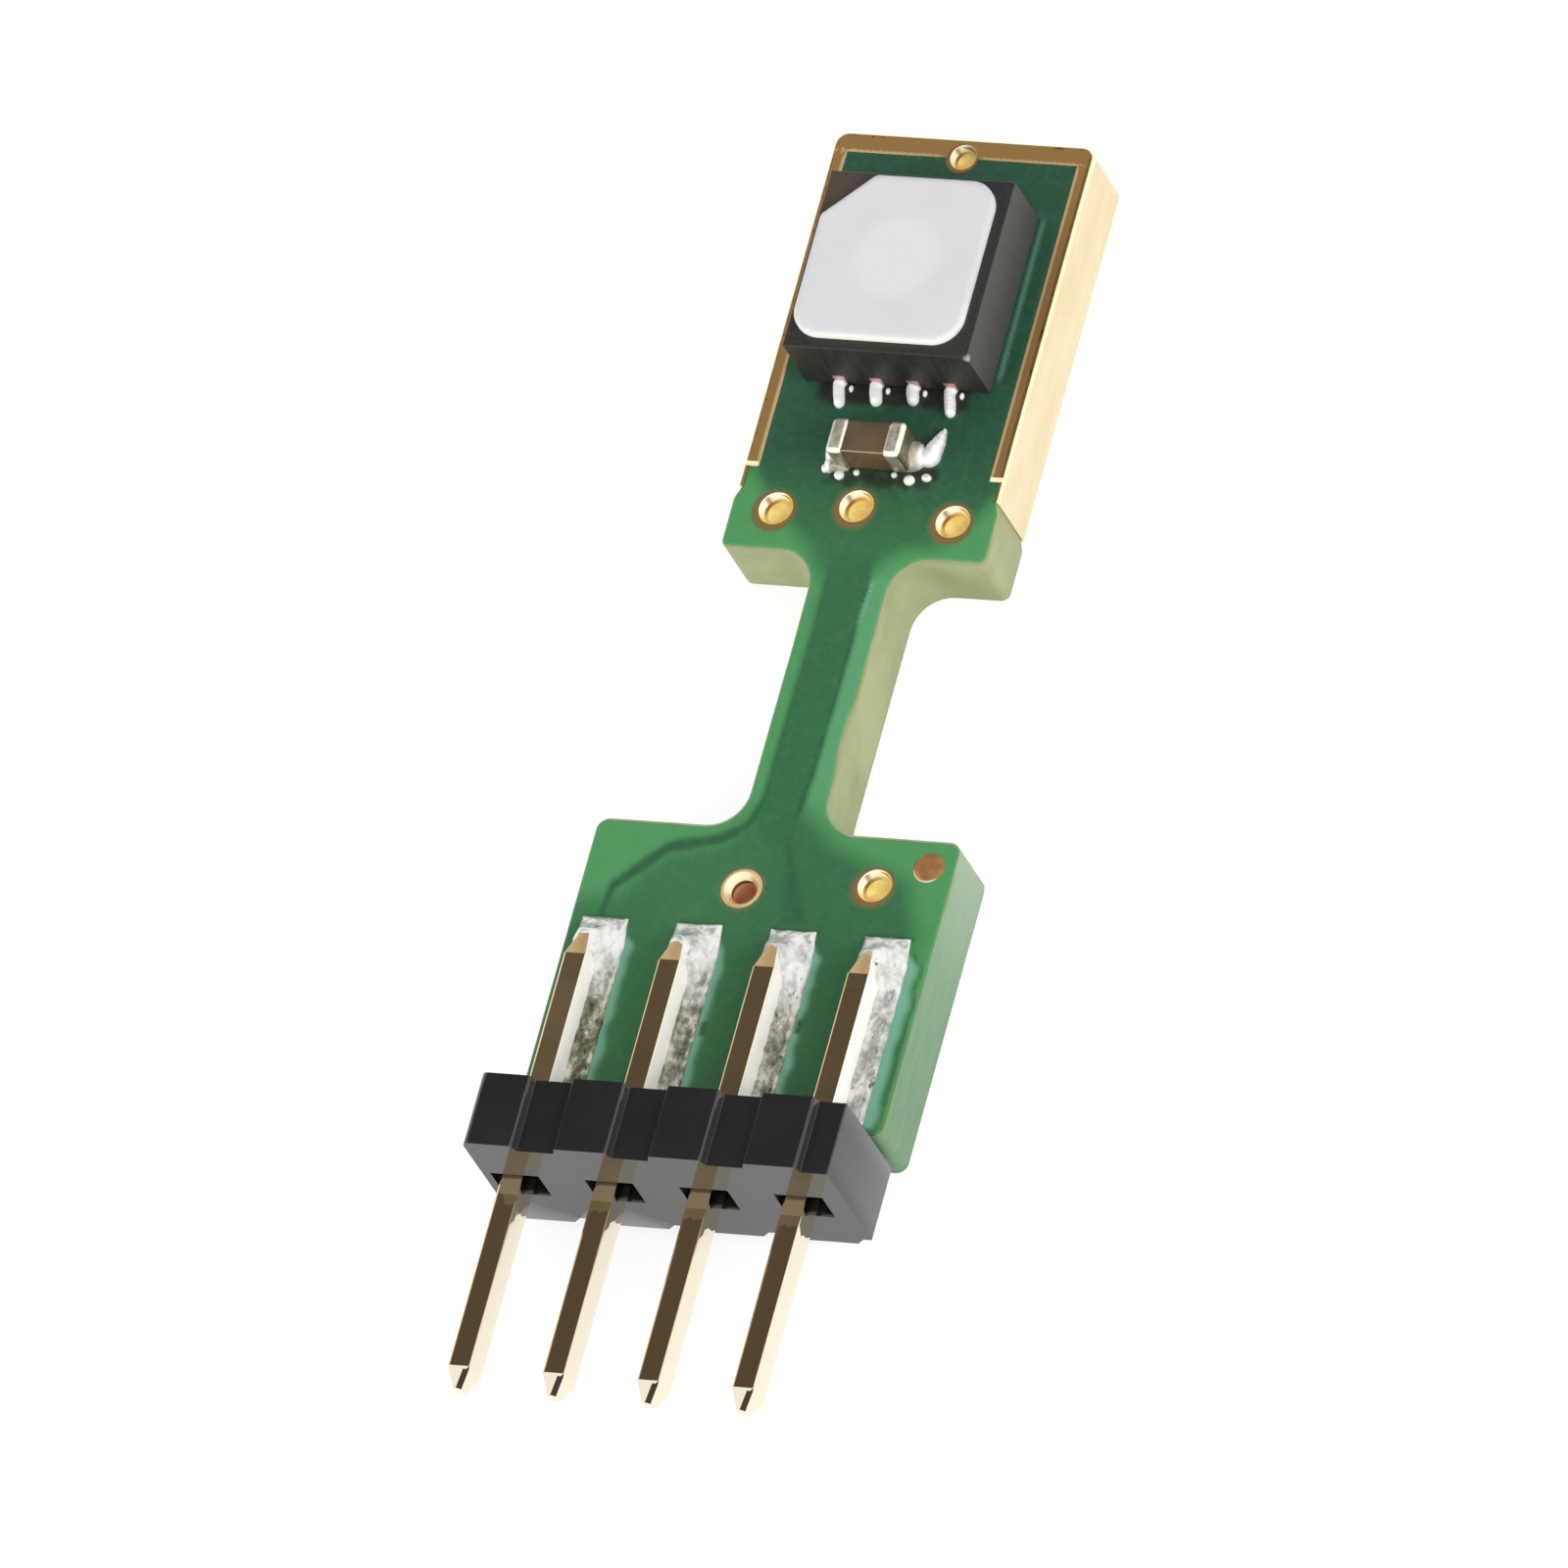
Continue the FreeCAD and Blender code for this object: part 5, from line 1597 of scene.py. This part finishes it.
@dataclass
class PinRow:
    """Four square gold pins, the solder that holds them and the plastic housing round them."""

    pitch: float = 1.27
    first: float = -2.055
    width: float = 0.3
    depth: float = 0.4
    rear: float = 1.01
    foot: float = -8.948
    top: float = -2.555
    foot_taper: float = 0.25
    top_taper: float = 0.38
    tip: tuple[float, float] = (0.12, 0.16)
    header_low: float = -6.068
    header_high: float = -5.078
    header_sides: tuple[float, float] = (-2.435, 2.435)
    header_faces: tuple[float, float] = (0.283, 2.236)
    notch_depth: float = 0.12
    notch_end: float = 0.865
    recess_shift: float = 0.055
    recess_half: tuple[float, float] = (0.325, 0.255)
    recess_depth: float = 0.3
    solder_height: float = 0.3
    solder_skin: float = 0.035
    dullness: tuple[float, ...] = (1.0, 0.9, 0.8, 0.4)

    def spots(self) -> list[float]:
        """Lists the pins' places along X."""
        return [self.first + step * self.pitch for step in range(4)]

    def pins(self, material: Finish) -> None:
        """Builds the pins as copies of one bar with softened edges.

        Args:
            material: Gold finish.
        """
        foot_end, top_start = self.foot + self.foot_taper, self.top - self.top_taper
        full = (self.width, self.depth)
        cuts = np.linspace(foot_end, top_start, 30)[1:-1]
        rows = [(self.foot, self.tip), (foot_end - 0.03, (self.width * 0.93, self.depth * 0.93)), (foot_end, full),
                *((float(cut), full) for cut in cuts), (top_start, full), (self.top, self.tip)]
        levels = []
        for place, (wide, deep) in rows:
            rolled, cut = min(wide, deep) * 0.13, min(wide, deep) * 0.04
            snip = 0.075 if place < foot_end - 0.01 else cut
            loop = rounded([(-wide / 2, -deep / 2, rolled), (wide / 2, -deep / 2, snip),
                            (wide / 2, deep / 2, cut), (-wide / 2, deep / 2, rolled)], 3)
            levels.append([(x, place, -z) for x, z in loop])
        bar = stack("pin", levels)
        outward(bar)
        middle = self.rear + self.depth / 2
        row = repeat("pin_row", bar, material, [(x, 0.0, middle, 1.0, 1.0, 1.0) for x in self.spots()], 0.0, 3)

        def shade(centre: Vector, normal: Vector) -> float:
            """Darkens the snipped corner of each foot, and the sloping top a little."""
            snipped = normal.x > 0.22 and normal.z > 0.3 and centre.y < foot_end
            return 0.95 * float(snipped) + 0.33 * float(normal.z > 0.5 and centre.y > top_start)

        def lit(centre: Vector, normal: Vector) -> float:
            """Whitens the right sides over the board, and lightens the fronts in faint patches over the board and
            just below the housing.
            """
            if centre.y < self.header_high:
                return 0.13 * float(normal.z > 0.9 and centre.y > self.header_low - 0.32)
            if normal.x > 0.6:
                return 1.0
            if normal.z <= 0.9 or centre.y >= top_start:
                return 0.0
            share = 0.045 if centre.x < self.first + 0.5 else 0.012
            return share * (1 + noise.noise(Vector((centre.x * 9, centre.y * 2.2, 3.0))))

        # Painted sheen: the sides and the foot tips take the pale colour of a grazing reflection.
        mark(row, "wear_and_sheen", lambda centre, normal: float(abs(normal.x) > 0.6 or centre.y < foot_end))
        mark(row, "shade", shade)
        mark(row, "lit", lit)
        names = [f"pin_{number}" for number in range(1, 5)]
        settle(row, material, Slot.PIN, names, 35, even=True, rows=True)

    def solder(self, number: int, material: Finish, board: Board) -> None:
        """Builds the solder that hugs a pin and runs out over its pad.

        Args:
            number: Number of the pin, from 1.
            material: Solder finish.
            board: Board that carries the pad.
        """
        x, pad = self.spots()[number - 1], board.pads[number - 1]
        low, high = board.pad_span
        side, half, top_start = pad + board.pad_half, self.width / 2, self.top - self.top_taper
        loop = divide(np.array(((pad - board.pad_half, low), (side + 0.05, low), (side + 0.06, -2.62),
                                (side + 0.01, high), (pad - board.pad_half, high))), 0.05)
        ways = loop - np.array((pad, (low + high) / 2))
        ways = ways / np.linalg.norm(ways, axis=1)[:, None]
        outline = loop + ways * (0.022 * waves(loop, 0.12, 20.0 + number))[:, None]
        spine = rounded([(x - half, low - 1, 0), (x + half, low - 1, 0), (x + half, top_start, 0),
                         (x + 0.06, self.top, 0), (x - 0.06, self.top, 0), (x - half, top_start, 0)])

        def top(points: np.ndarray) -> np.ndarray:
            """Gives the height: a fillet that climbs the pin over a rippled skin."""
            away = np.clip(-distance(points, spine), 0, 1)
            rise = soft(points[:, 1] + 0.08 * waves(points, 0.3, 25.0 + number), -3.05, -2.62)
            climb = self.solder_skin + (self.solder_height - self.solder_skin) * rise
            climb = climb * (0.9 + 0.25 * waves(points, 0.45, 30.0 + number))
            height = climb * np.clip(1 - away / 0.34, 0, 1) ** 1.6 + self.solder_skin
            height += 0.03 * waves(points, 0.16, 40.0 + number) + 0.014 * waves(points, 0.07, 50.0 + number)
            edge = np.clip(distance(points, outline) / 0.06, 0, 1)
            return board.top + np.maximum(height, 0.006) * np.sqrt(np.clip(edge, 0.02, 1))

        def dull(points: np.ndarray) -> np.ndarray:
            """Dulls the lower part, less from pin to pin."""
            lower = 1 - soft(points[:, 1] + 0.35 * waves(points, 0.3, 60.0 + number), -3.5, -2.75)
            return self.dullness[number - 1] * lower

        strip = height_piece(f"solder_strip_{number}", outline, [], 0.026, top, board.top - 0.004, {"dull": dull})
        settle(strip, material, Slot.SOLDER, [f"pin_solder_{number}"], 70)

    def notches(self, face: float, depth: float, start: float, slopes: Spot, turn: float) -> list[Spot]:
        """Lists the corners of the notches between the pins along one face.

        Args:
            face: Height of the face.
            depth: Depth of the notches, negative downwards.
            start: Where a notch begins, from its pin's middle.
            slopes: Width of a notch's left and right slope.
            turn: Radius of its first corner.

        Returns:
            X, height and radius of each corner, from left to right.
        """
        right = self.header_sides[1]
        corners: list[Spot] = []
        for x in self.spots():
            first, last = x + start, min(x + self.notch_end, right)
            corners += [(first, face, turn), (first + slopes[0], face + depth, 0.01)]
            if last < right - 0.01:
                corners += [(last - slopes[1], face + depth, 0.01), (last, face, 0.01)]
            else:
                corners.append((right, face + depth, 0.02))
        return corners

    def housing(self, material: Finish) -> None:
        """Builds the notched housing with its recesses at the pins.

        Args:
            material: Black plastic finish.
        """
        left = self.header_sides[0]
        rear, front = self.header_faces
        profile = [(left, rear, 0.03), *self.notches(rear, self.notch_depth, 0.45, (0.11, 0.11), 0.01),
                   *reversed(self.notches(front, -self.notch_depth, 0.285, (0.03, 0.05), 0.045)),
                   (left, front, 0.09)]
        loop = rounded(profile, 4)
        cuts = np.linspace(self.header_low, self.header_high, 5)
        body = stack("housing", [[(x, float(y), z) for x, z in loop] for y in cuts])
        outward(body)
        middle = self.rear + self.depth / 2
        wide, tall = self.recess_half
        low, high, deep = self.header_low, self.header_high, self.recess_depth
        carve(body, [block("recess", (x + self.recess_shift - wide, start, middle - tall),
                           (x + self.recess_shift + wide, end, middle + tall))
                     for x in self.spots() for start, end in ((low - 0.1, low + deep), (high - deep, high + 0.1))])
        bevelled(body, 0.014, 2, 50)
        settle(body, material, Slot.HEADER, ["header_housing"], 35, even=True)

    def build(self, board: Board) -> None:
        """Builds the pins, their solder and the housing.

        Args:
            board: Board that carries the pads.
        """
        # Drawn pins: near mirrors along their length, with a painted sheen that makes the sheared sides and the foot
        # tips pale.
        self.pins(Gold("pin_gold_over_brass", "#e9c791", "#dfbb84", 0.03, 0.07, (1, 12, 1), 0.0, wear_and_sheen="#f3ead2",
                       worn_rough=0.05, lit="#fffdf5", shade="#241506").make())
        solder = Solder().make()
        for number in range(1, 5):
            self.solder(number, solder, board)
        # Moulded nylon straight from a polished tool: glossier than the sensor's package.
        self.housing(BlackPlastic("moulded_black_nylon", "#1c1c1c", "#232323", 0.07, 0.12, 0.05, 0.0003,
                                  ior=1.75).make())
        # Hot-dipped pads below the solder: the same tin, smoother and cleaner.
        pad_silver = Solder("pad_tin", flux_share=0.8, ripple=0.003).make()
        for number in range(1, 5):
            dress(f"pin_pad_{number}", pad_silver)


def dress(node: str, material: Finish) -> None:
    """Gives a CAD node its material.

    Args:
        node: Name of the node.
        material: Its finish.
    """
    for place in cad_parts[node].material_slots:
        place.material = material
    log.info("%s: dressed", node)


# ---------------------------------------------------------------- sensor


@dataclass
class Sensor:
    """The sensor package: mould compound, membrane, terminals and their solder."""

    left: float = -1.325
    right: float = 1.175
    low: float = 5.403
    high: float = 7.903
    base: float = 1.0
    top: float = 1.909
    membrane_box: tuple[float, float, float, float] = (-1.263, 1.013, 5.5455, 7.8365)
    membrane_cut: float = 0.6
    membrane_round: float = 0.38
    membrane_thick: float = 0.1
    port: float = 0.55
    port_depth: float = 0.3
    pitch: float = 0.5
    terminal: tuple[float, float, float] = (0.17, 0.35, 0.2)
    toe: float = 0.25

    def middle(self) -> tuple[float, float]:
        """Gives the package's centre."""
        return ((self.left + self.right) / 2, (self.low + self.high) / 2)

    def terminals_x(self) -> list[float]:
        """Lists the terminals' places along X."""
        return [self.middle()[0] + step * self.pitch for step in (-1.5, -0.5, 0.5, 1.5)]

    def openings(self) -> list[Spot]:
        """Lists the mask openings at the terminals.

        Returns:
            Left, right, low and high of each.
        """
        wide, long, _ = self.terminal
        rows: list[Spot] = []
        for x in self.terminals_x():
            left, right = x - wide * 0.3, x + wide * 0.3
            rows += [(left, right, self.low - self.toe * 0.7, self.low + long),
                     (left, right, self.high - long, self.high + self.toe * 0.7)]
        return rows

    def mould(self, material: Finish) -> None:
        """Builds the mould compound with its air port.

        Args:
            material: Black plastic finish.
        """
        body = block("mould", (self.left, self.low, self.base), (self.right, self.high, self.top))
        bevelled(body, 0.022, 3)
        floor, above = self.top - self.port_depth, self.top + 0.1
        port = lathe("port", [(0.0, floor), (self.port, floor), (self.port, above), (0.0, above)])
        port.data.transform(Matrix.Translation((*self.middle(), 0.0)))
        wide, long, tall = self.terminal
        cutters = [port]
        for x in self.terminals_x():
            for low, high in ((self.low - 0.1, self.low + long), (self.high - long, self.high + 0.1)):
                cutters.append(block("slot", (x - wide / 2, low, self.base - 0.1),
                                     (x + wide / 2, high, self.base + tall)))
        carve(body, cutters)
        mark(body, "sawn", lambda centre, normal: float(normal.x > 0.7))
        settle(body, material, Slot.MOULD, ["sensor_mould"], 50, even=True)

    def membrane(self, material: Finish) -> None:
        """Builds the membrane, soft at its rim and faintly sunk over the port.

        Args:
            material: Membrane finish.
        """
        left, right, low, high = self.membrane_box
        cut, turn = self.membrane_cut, self.membrane_round
        outline = rounded([(left, low, turn), (right, low, turn), (right, high, turn), (left + cut, high, 0.12),
                           (left, high - cut, 0.12)], 12)
        centre = self.middle()

        def rim(points: np.ndarray) -> np.ndarray:
            """Warms the rim along the lower side."""
            edge = 1 - soft(distance(points, outline), 0.0, 0.025)
            return edge * (1 - soft(points[:, 1], low + 0.25, low + 0.7))

        def port(points: np.ndarray) -> np.ndarray:
            """Is 1 over the port."""
            away = np.hypot(points[:, 0] - centre[0], points[:, 1] - centre[1])
            return 1 - soft(away, self.port - 0.12, self.port + 0.12)

        def top(points: np.ndarray) -> np.ndarray:
            """Gives the film's height."""
            fall = np.clip(1 - distance(points, outline) / 0.05, 0, 1)
            height = self.top + self.membrane_thick - 0.035 * (1 - np.sqrt(1 - fall ** 2 * 0.98))
            return height - 0.006 * port(points) + 0.001 * waves(points, 0.5, 2.0)

        film = height_piece("membrane_film", outline, [], 0.05, top, self.top, {"rim": rim, "port": port})
        settle(film, material, Slot.FILM, ["sensor_membrane"], 60)

    def joints(self, solder: Finish, copper: Finish) -> None:
        """Builds the terminals and the drops of solder at their toes.

        Args:
            solder: Finish of the drops.
            copper: Finish of the terminals.
        """
        wide, long, tall = self.terminal
        lug = block("terminal", (-wide / 2, -long / 2, 0.0), (wide / 2, long / 2, tall))
        bevelled(lug, 0.02)
        spots = [(x, y, self.base, 1.0, 1.0, 1.0) for y in (self.low + long / 2, self.high - long / 2)
                 for x in self.terminals_x()]
        settle(repeat("terminal_row", lug, copper, spots), copper, Slot.SOLDER,
               [f"sensor_terminal_{number}" for number in range(1, 9)], 35)
        # How far each toe reaches, and how plump it is.
        reaches = ((1.25, 0.95), (1.0, 1.05), (0.8, 1.05), (1.4, 0.95))
        for name, way, edge, first in (("toe_solder_low", -1, self.low, 1), ("toe_solder_high", 1, self.high, 5)):
            balls: list[Spot] = []
            for x, (reach, plump) in zip(self.terminals_x(), reaches):
                toe = self.toe * reach
                for share in (0.1, 0.26, 0.42, 0.58, 0.74, 0.88):
                    half = 0.078 * plump * (1 - 0.6 * (share - 0.5) ** 2)
                    balls.append((x - 0.045 + share * toe * 0.3, edge + way * toe * share, self.base + 0.02,
                                  half, 0.075, 0.1))
                # The heel on the toe's root, the film under the package and a bead on the right.
                balls += [(x, edge + way * 0.02, self.base + 0.04, 0.066, 0.05, 0.07),
                          (x - 0.01, edge - way * 0.12, self.base - 0.005, 0.095, 0.2, 0.03),
                          (x + 0.14, edge + way * 0.07, self.base + 0.01, 0.028, 0.05, 0.05)]
            settle(blobs(name, balls, 0.012, 5), solder, Slot.SOLDER,
                   [f"sensor_solder_{number}" for number in range(first, first + 4)], 70)

    def build(self) -> None:
        """Builds every piece of the sensor package."""
        self.mould(BlackPlastic("black_mould_compound_sawn", "#1c1b19", "#24221f", 0.46, 0.58, 0.04, 0.0014,
                                True).make())
        self.membrane(Membrane().make())
        # Fresh drops are smooth and nearly white; the tinned copper behind them looks pink.
        self.joints(Solder("toe_solder", bright="#ffffff", grey="#f6f6f3", ripple=0.001, flux_share=0.9,
                           metal=0.0).make(),
                    Gold("terminal_copper_tinned", "#dfb3ab", "#b98580", 0.3, 0.45, metal=0.5).make())


# ---------------------------------------------------------------- capacitor


@dataclass
class Capacitor:
    """The chip capacitor: ceramic block, two end caps, their solder and loose drops beside it."""

    left: float = -0.59
    right: float = 0.41
    low: float = 4.198
    high: float = 4.688
    base: float = 1.0
    top: float = 1.5
    cap: float = 0.24
    cap_round: float = 0.075
    skin: float = 0.022

    def openings(self) -> list[Spot]:
        """Lists the mask openings at the ends as left, right, low and high."""
        return [(self.left - 0.1, self.left + self.cap, self.low + 0.05, self.high - 0.05),
                (self.right - self.cap, self.right + 0.12, self.low + 0.12, self.high - 0.05)]

    def body(self, ceramic: Finish, tin: Finish) -> None:
        """Builds the ceramic and its two caps.

        Args:
            ceramic: Finish of the block.
            tin: Finish of the caps.
        """
        skin = self.skin
        core = block("ceramic_block", (self.left + skin, self.low + skin, self.base + skin),
                     (self.right - skin, self.high - skin, self.top - skin))
        bevelled(core, 0.03, 3)
        mark(core, "lit", lambda centre, normal: float(normal.z > 0.3 and normal.y < -0.3))
        settle(core, ceramic, Slot.CERAMIC, ["capacitor_ceramic"], 50, even=True)
        for side, start, end in (("left", self.left, self.left + self.cap),
                                 ("right", self.right - self.cap, self.right)):
            cap = block(f"end_cap_{side}", (start, self.low, self.base), (end, self.high, self.top))
            bevelled(cap, self.cap_round, 5)
            mark(cap, "lit", lambda centre, normal: float(normal.z > 0.3 and (normal.x > 0.25 or normal.y < -0.4)))
            mark(cap, "shade", lambda centre, normal: 0.75 * float(normal.x > 0.7) + 0.4 * float(normal.y < -0.7))
            settle(cap, tin, Slot.CAP, [f"capacitor_cap_{side}"], 50, even=True)

    def solder(self, material: Finish) -> None:
        """Builds the solder at both ends and the loose drops along the lower side.

        Args:
            material: Solder finish.
        """
        base, middle = self.base, (self.low + self.high) / 2
        heel = blobs("cap_solder_left", [
            (self.left - 0.05, middle, base, 0.14, 0.22, 0.16),
            (self.left - 0.08, self.low + 0.06, base + 0.02, 0.08, 0.12, 0.09),
            (self.left + 0.05, self.low + 0.02, base + 0.03, 0.13, 0.05, 0.1)])
        mark(heel, "dull", lambda centre, normal: 0.75 * float(centre.x > self.left - 0.06))
        settle(heel, material, Slot.SOLDER, ["capacitor_solder_left"], 70)
        # The fillet's horn thins out towards the upper right.
        fillet = blobs("cap_solder_right", [
            (self.right - 0.02, middle, base, 0.21, 0.21, 0.22),
            (0.615, 4.46, base + 0.02, 0.15, 0.15, 0.13), (0.64, 4.56, base + 0.02, 0.13, 0.14, 0.12),
            (0.67, 4.64, base + 0.02, 0.105, 0.13, 0.1), (0.69, 4.72, base + 0.02, 0.075, 0.11, 0.08),
            (0.715, 4.8, base + 0.02, 0.04, 0.07, 0.05)])

        def hollow(centre: Vector, normal: Vector) -> float:
            """Darkens the horn's inner side."""
            high, beside = centre.y > 4.52, 0.5 < centre.x < 0.56 + 0.5 * (centre.y - 4.52)
            return float(high and beside and normal.x < 0.0)

        mark(fillet, "dull", lambda centre, normal: 0.8 * float(
            np.clip((self.right + 0.13 - centre.x) / 0.05, 0, 1)))
        mark(fillet, "shade", hollow)
        settle(fillet, material, Slot.SOLDER, ["capacitor_solder_right"], 70)
        drop = blobs("drop", [(0.0, 0.0, 0.0, 0.05, 0.05, 0.05)], 0.006, 1)
        spots = [(x, y, base + 0.02, *scale) for x, y, scale in (
            (-0.52, 4.12, (1.35, 1.35, 1.1)), (-0.3, 4.17, (0.85, 0.85, 0.8)), (-0.73, 4.2, (1.0, 1.3, 1.0)),
            (0.21, 4.17, (0.8, 0.8, 0.8)), (0.43, 4.11, (1.5, 1.4, 1.2)), (0.65, 4.16, (1.5, 1.1, 1.0)))]
        settle(repeat("solder_drops", drop, material, spots, 0.3, 5), material, Slot.SOLDER, [], 70)

    def build(self) -> None:
        """Builds every piece of the capacitor."""
        self.body(Ceramic().make(), Tin().make())
        # Brighter and cleaner than the header's solder, with a tan tinge beside the body.
        self.solder(Solder("capacitor_solder", bright="#ffffff", grey="#dedcd4", ripple=0.003, flux_share=0.72,
                           metal=0.3, aged=("#8a8262", "#aaa07c", "#cfc7a6")).make())


# ---------------------------------------------------------------- studio


@dataclass
class Studio:
    """Camera, floor, world and lamps."""

    eye: Spot = (224.1568, -232.1081, 456.8652)
    across: Spot = (0.91349194, 0.24519208, -0.32467418)
    up: Spot = (-0.06532028, 0.87603867, 0.47779651)
    back: Spot = (0.40157906, -0.41525545, 0.81627028)
    gap: float = -0.002
    reach: float = 400.0
    lens: float = 1040.7
    sensor: float = 36.0
    level: float = 0.62

    def camera(self) -> None:
        """Sets the long-lens camera at the photograph's viewing angle."""
        data = bpy.data.cameras.new("camera")
        data.lens = self.lens
        data.sensor_width = self.sensor
        data.clip_start = 0.01
        data.clip_end = 10.0
        seat = bpy.data.objects.new("camera", data)
        turn = Matrix((self.across, self.up, self.back)).transposed().to_4x4()
        seat.matrix_world = Matrix.Translation(Vector(self.eye) * MM) @ turn
        bpy.context.scene.collection.objects.link(seat)
        bpy.context.scene.camera = seat

    @staticmethod
    def seen(tree: Tree, path: bpy.types.Node) -> bpy.types.Node:
        """Finds the rays that show the background.

        Args:
            tree: Tree that takes the nodes.
            path: Its Light Path node.

        Returns:
            A node that gives 1 on camera, glossy and transmission rays.
        """
        shown: object = path.outputs["Is Camera Ray"]
        for ray in ("Is Glossy Ray", "Is Transmission Ray"):
            shown = add_node(tree, "ShaderNodeMath", {"operation": "MAXIMUM"}, {0: shown, 1: path.outputs[ray]})
        return shown

    def floor(self) -> None:
        """Lays a white floor that keeps the object's shadow."""
        corners = box(-self.reach, self.reach, -self.reach, self.reach)
        thing = new_object("floor", [(x, y, self.gap) for x, y in corners], [(0, 1, 2, 3)])
        thing.data.transform(Matrix.Scale(MM, 4))
        material = bpy.data.materials.new("white_paper_floor")
        material.use_nodes = True
        tree = material.node_tree
        tree.nodes.clear()
        seen = self.seen(tree, add_node(tree, "ShaderNodeLightPath"))
        plain = add_node(tree, "ShaderNodeBsdfDiffuse", {}, {"Color": (0.82, 0.82, 0.82, 1)})
        paper = add_node(tree, "ShaderNodeBsdfDiffuse", {}, {"Color": (0.3, 0.3, 0.3, 1)})
        glow = add_node(tree, "ShaderNodeEmission", {}, {"Color": (1, 1, 1, 1), "Strength": 0.8})
        shown = add_node(tree, "ShaderNodeAddShader", {}, {0: paper, 1: glow})
        mix = add_node(tree, "ShaderNodeMixShader", {}, {0: seen, 1: plain, 2: shown})
        add_node(tree, "ShaderNodeOutputMaterial", {}, {"Surface": mix})
        thing.data.materials.append(material)

    def world(self) -> None:
        """Sets a white world with one dark screen, which the faces towards the camera mirror."""
        world = bpy.data.worlds.new("white_room")
        bpy.context.scene.world = world
        world.use_nodes = True
        tree = world.node_tree
        tree.nodes.clear()
        path = add_node(tree, "ShaderNodeLightPath")
        way = add_node(tree, "ShaderNodeTexCoord").outputs["Generated"]
        mirror = (-self.back[0], -self.back[1], self.back[2])
        toward = add_node(tree, "ShaderNodeVectorMath", {"operation": "DOT_PRODUCT"}, {0: way, 1: mirror})
        shade = add_node(tree, "ShaderNodeMapRange", {"interpolation_type": "SMOOTHSTEP"}, {
            "Value": toward.outputs["Value"], **between(1.0, 0.11, 0.8, 0.93)})
        white, room, level = (
            add_node(tree, "ShaderNodeBackground", {}, {"Color": (1, 1, 1, 1), "Strength": strength})
            for strength in (1.0, shade, self.level))
        glossy = add_node(tree, "ShaderNodeMixShader", {}, {0: self.seen(tree, path), 1: level, 2: room})
        mix = add_node(tree, "ShaderNodeMixShader", {}, {0: path.outputs["Is Camera Ray"], 1: glossy, 2: white})
        add_node(tree, "ShaderNodeOutputWorld", {}, {"Surface": mix})

    def lamp(self, name: str, place: Spot, size: float, power: float) -> None:
        """Hangs a soft lamp that lights matt surfaces and isn't mirrored.

        Args:
            name: Name of the lamp.
            place: Where it hangs, in millimetres.
            size: Side of the square lamp, in millimetres.
            power: Watts.
        """
        data = bpy.data.lights.new(name, "AREA")
        data.size = size * MM
        data.energy = power
        seat = bpy.data.objects.new(name, data)
        seat.location = Vector(place) * MM
        seat.rotation_euler = (-Vector(place)).to_track_quat("-Z", "Y").to_euler()
        seat.visible_glossy = False
        seat.visible_camera = False
        bpy.context.scene.collection.objects.link(seat)

    def build(self) -> None:
        """Sets up the whole studio."""
        bpy.context.scene.view_settings.view_transform = "Standard"
        self.camera()
        self.floor()
        self.world()
        self.lamp("key", (210, -150, 200), 160, 0.2)
        self.lamp("low", (252, -50, 134), 120, 0.36)
        self.lamp("left", (-200, -230, 70), 120, 0.48)
        self.lamp("fill", (-160, 120, 180), 200, 0.1)


def main() -> None:
    """Builds the studio and the object."""
    logging.basicConfig(level=logging.INFO, format="%(name)s: %(message)s")
    Studio().build()
    sensor, capacitor = Sensor(), Capacitor()
    board = Board(joint_boxes=sensor.openings() + capacitor.openings())
    board.build()
    PinRow().build(board)
    sensor.build()
    capacitor.build()


if __name__ == "__main__":
    main()
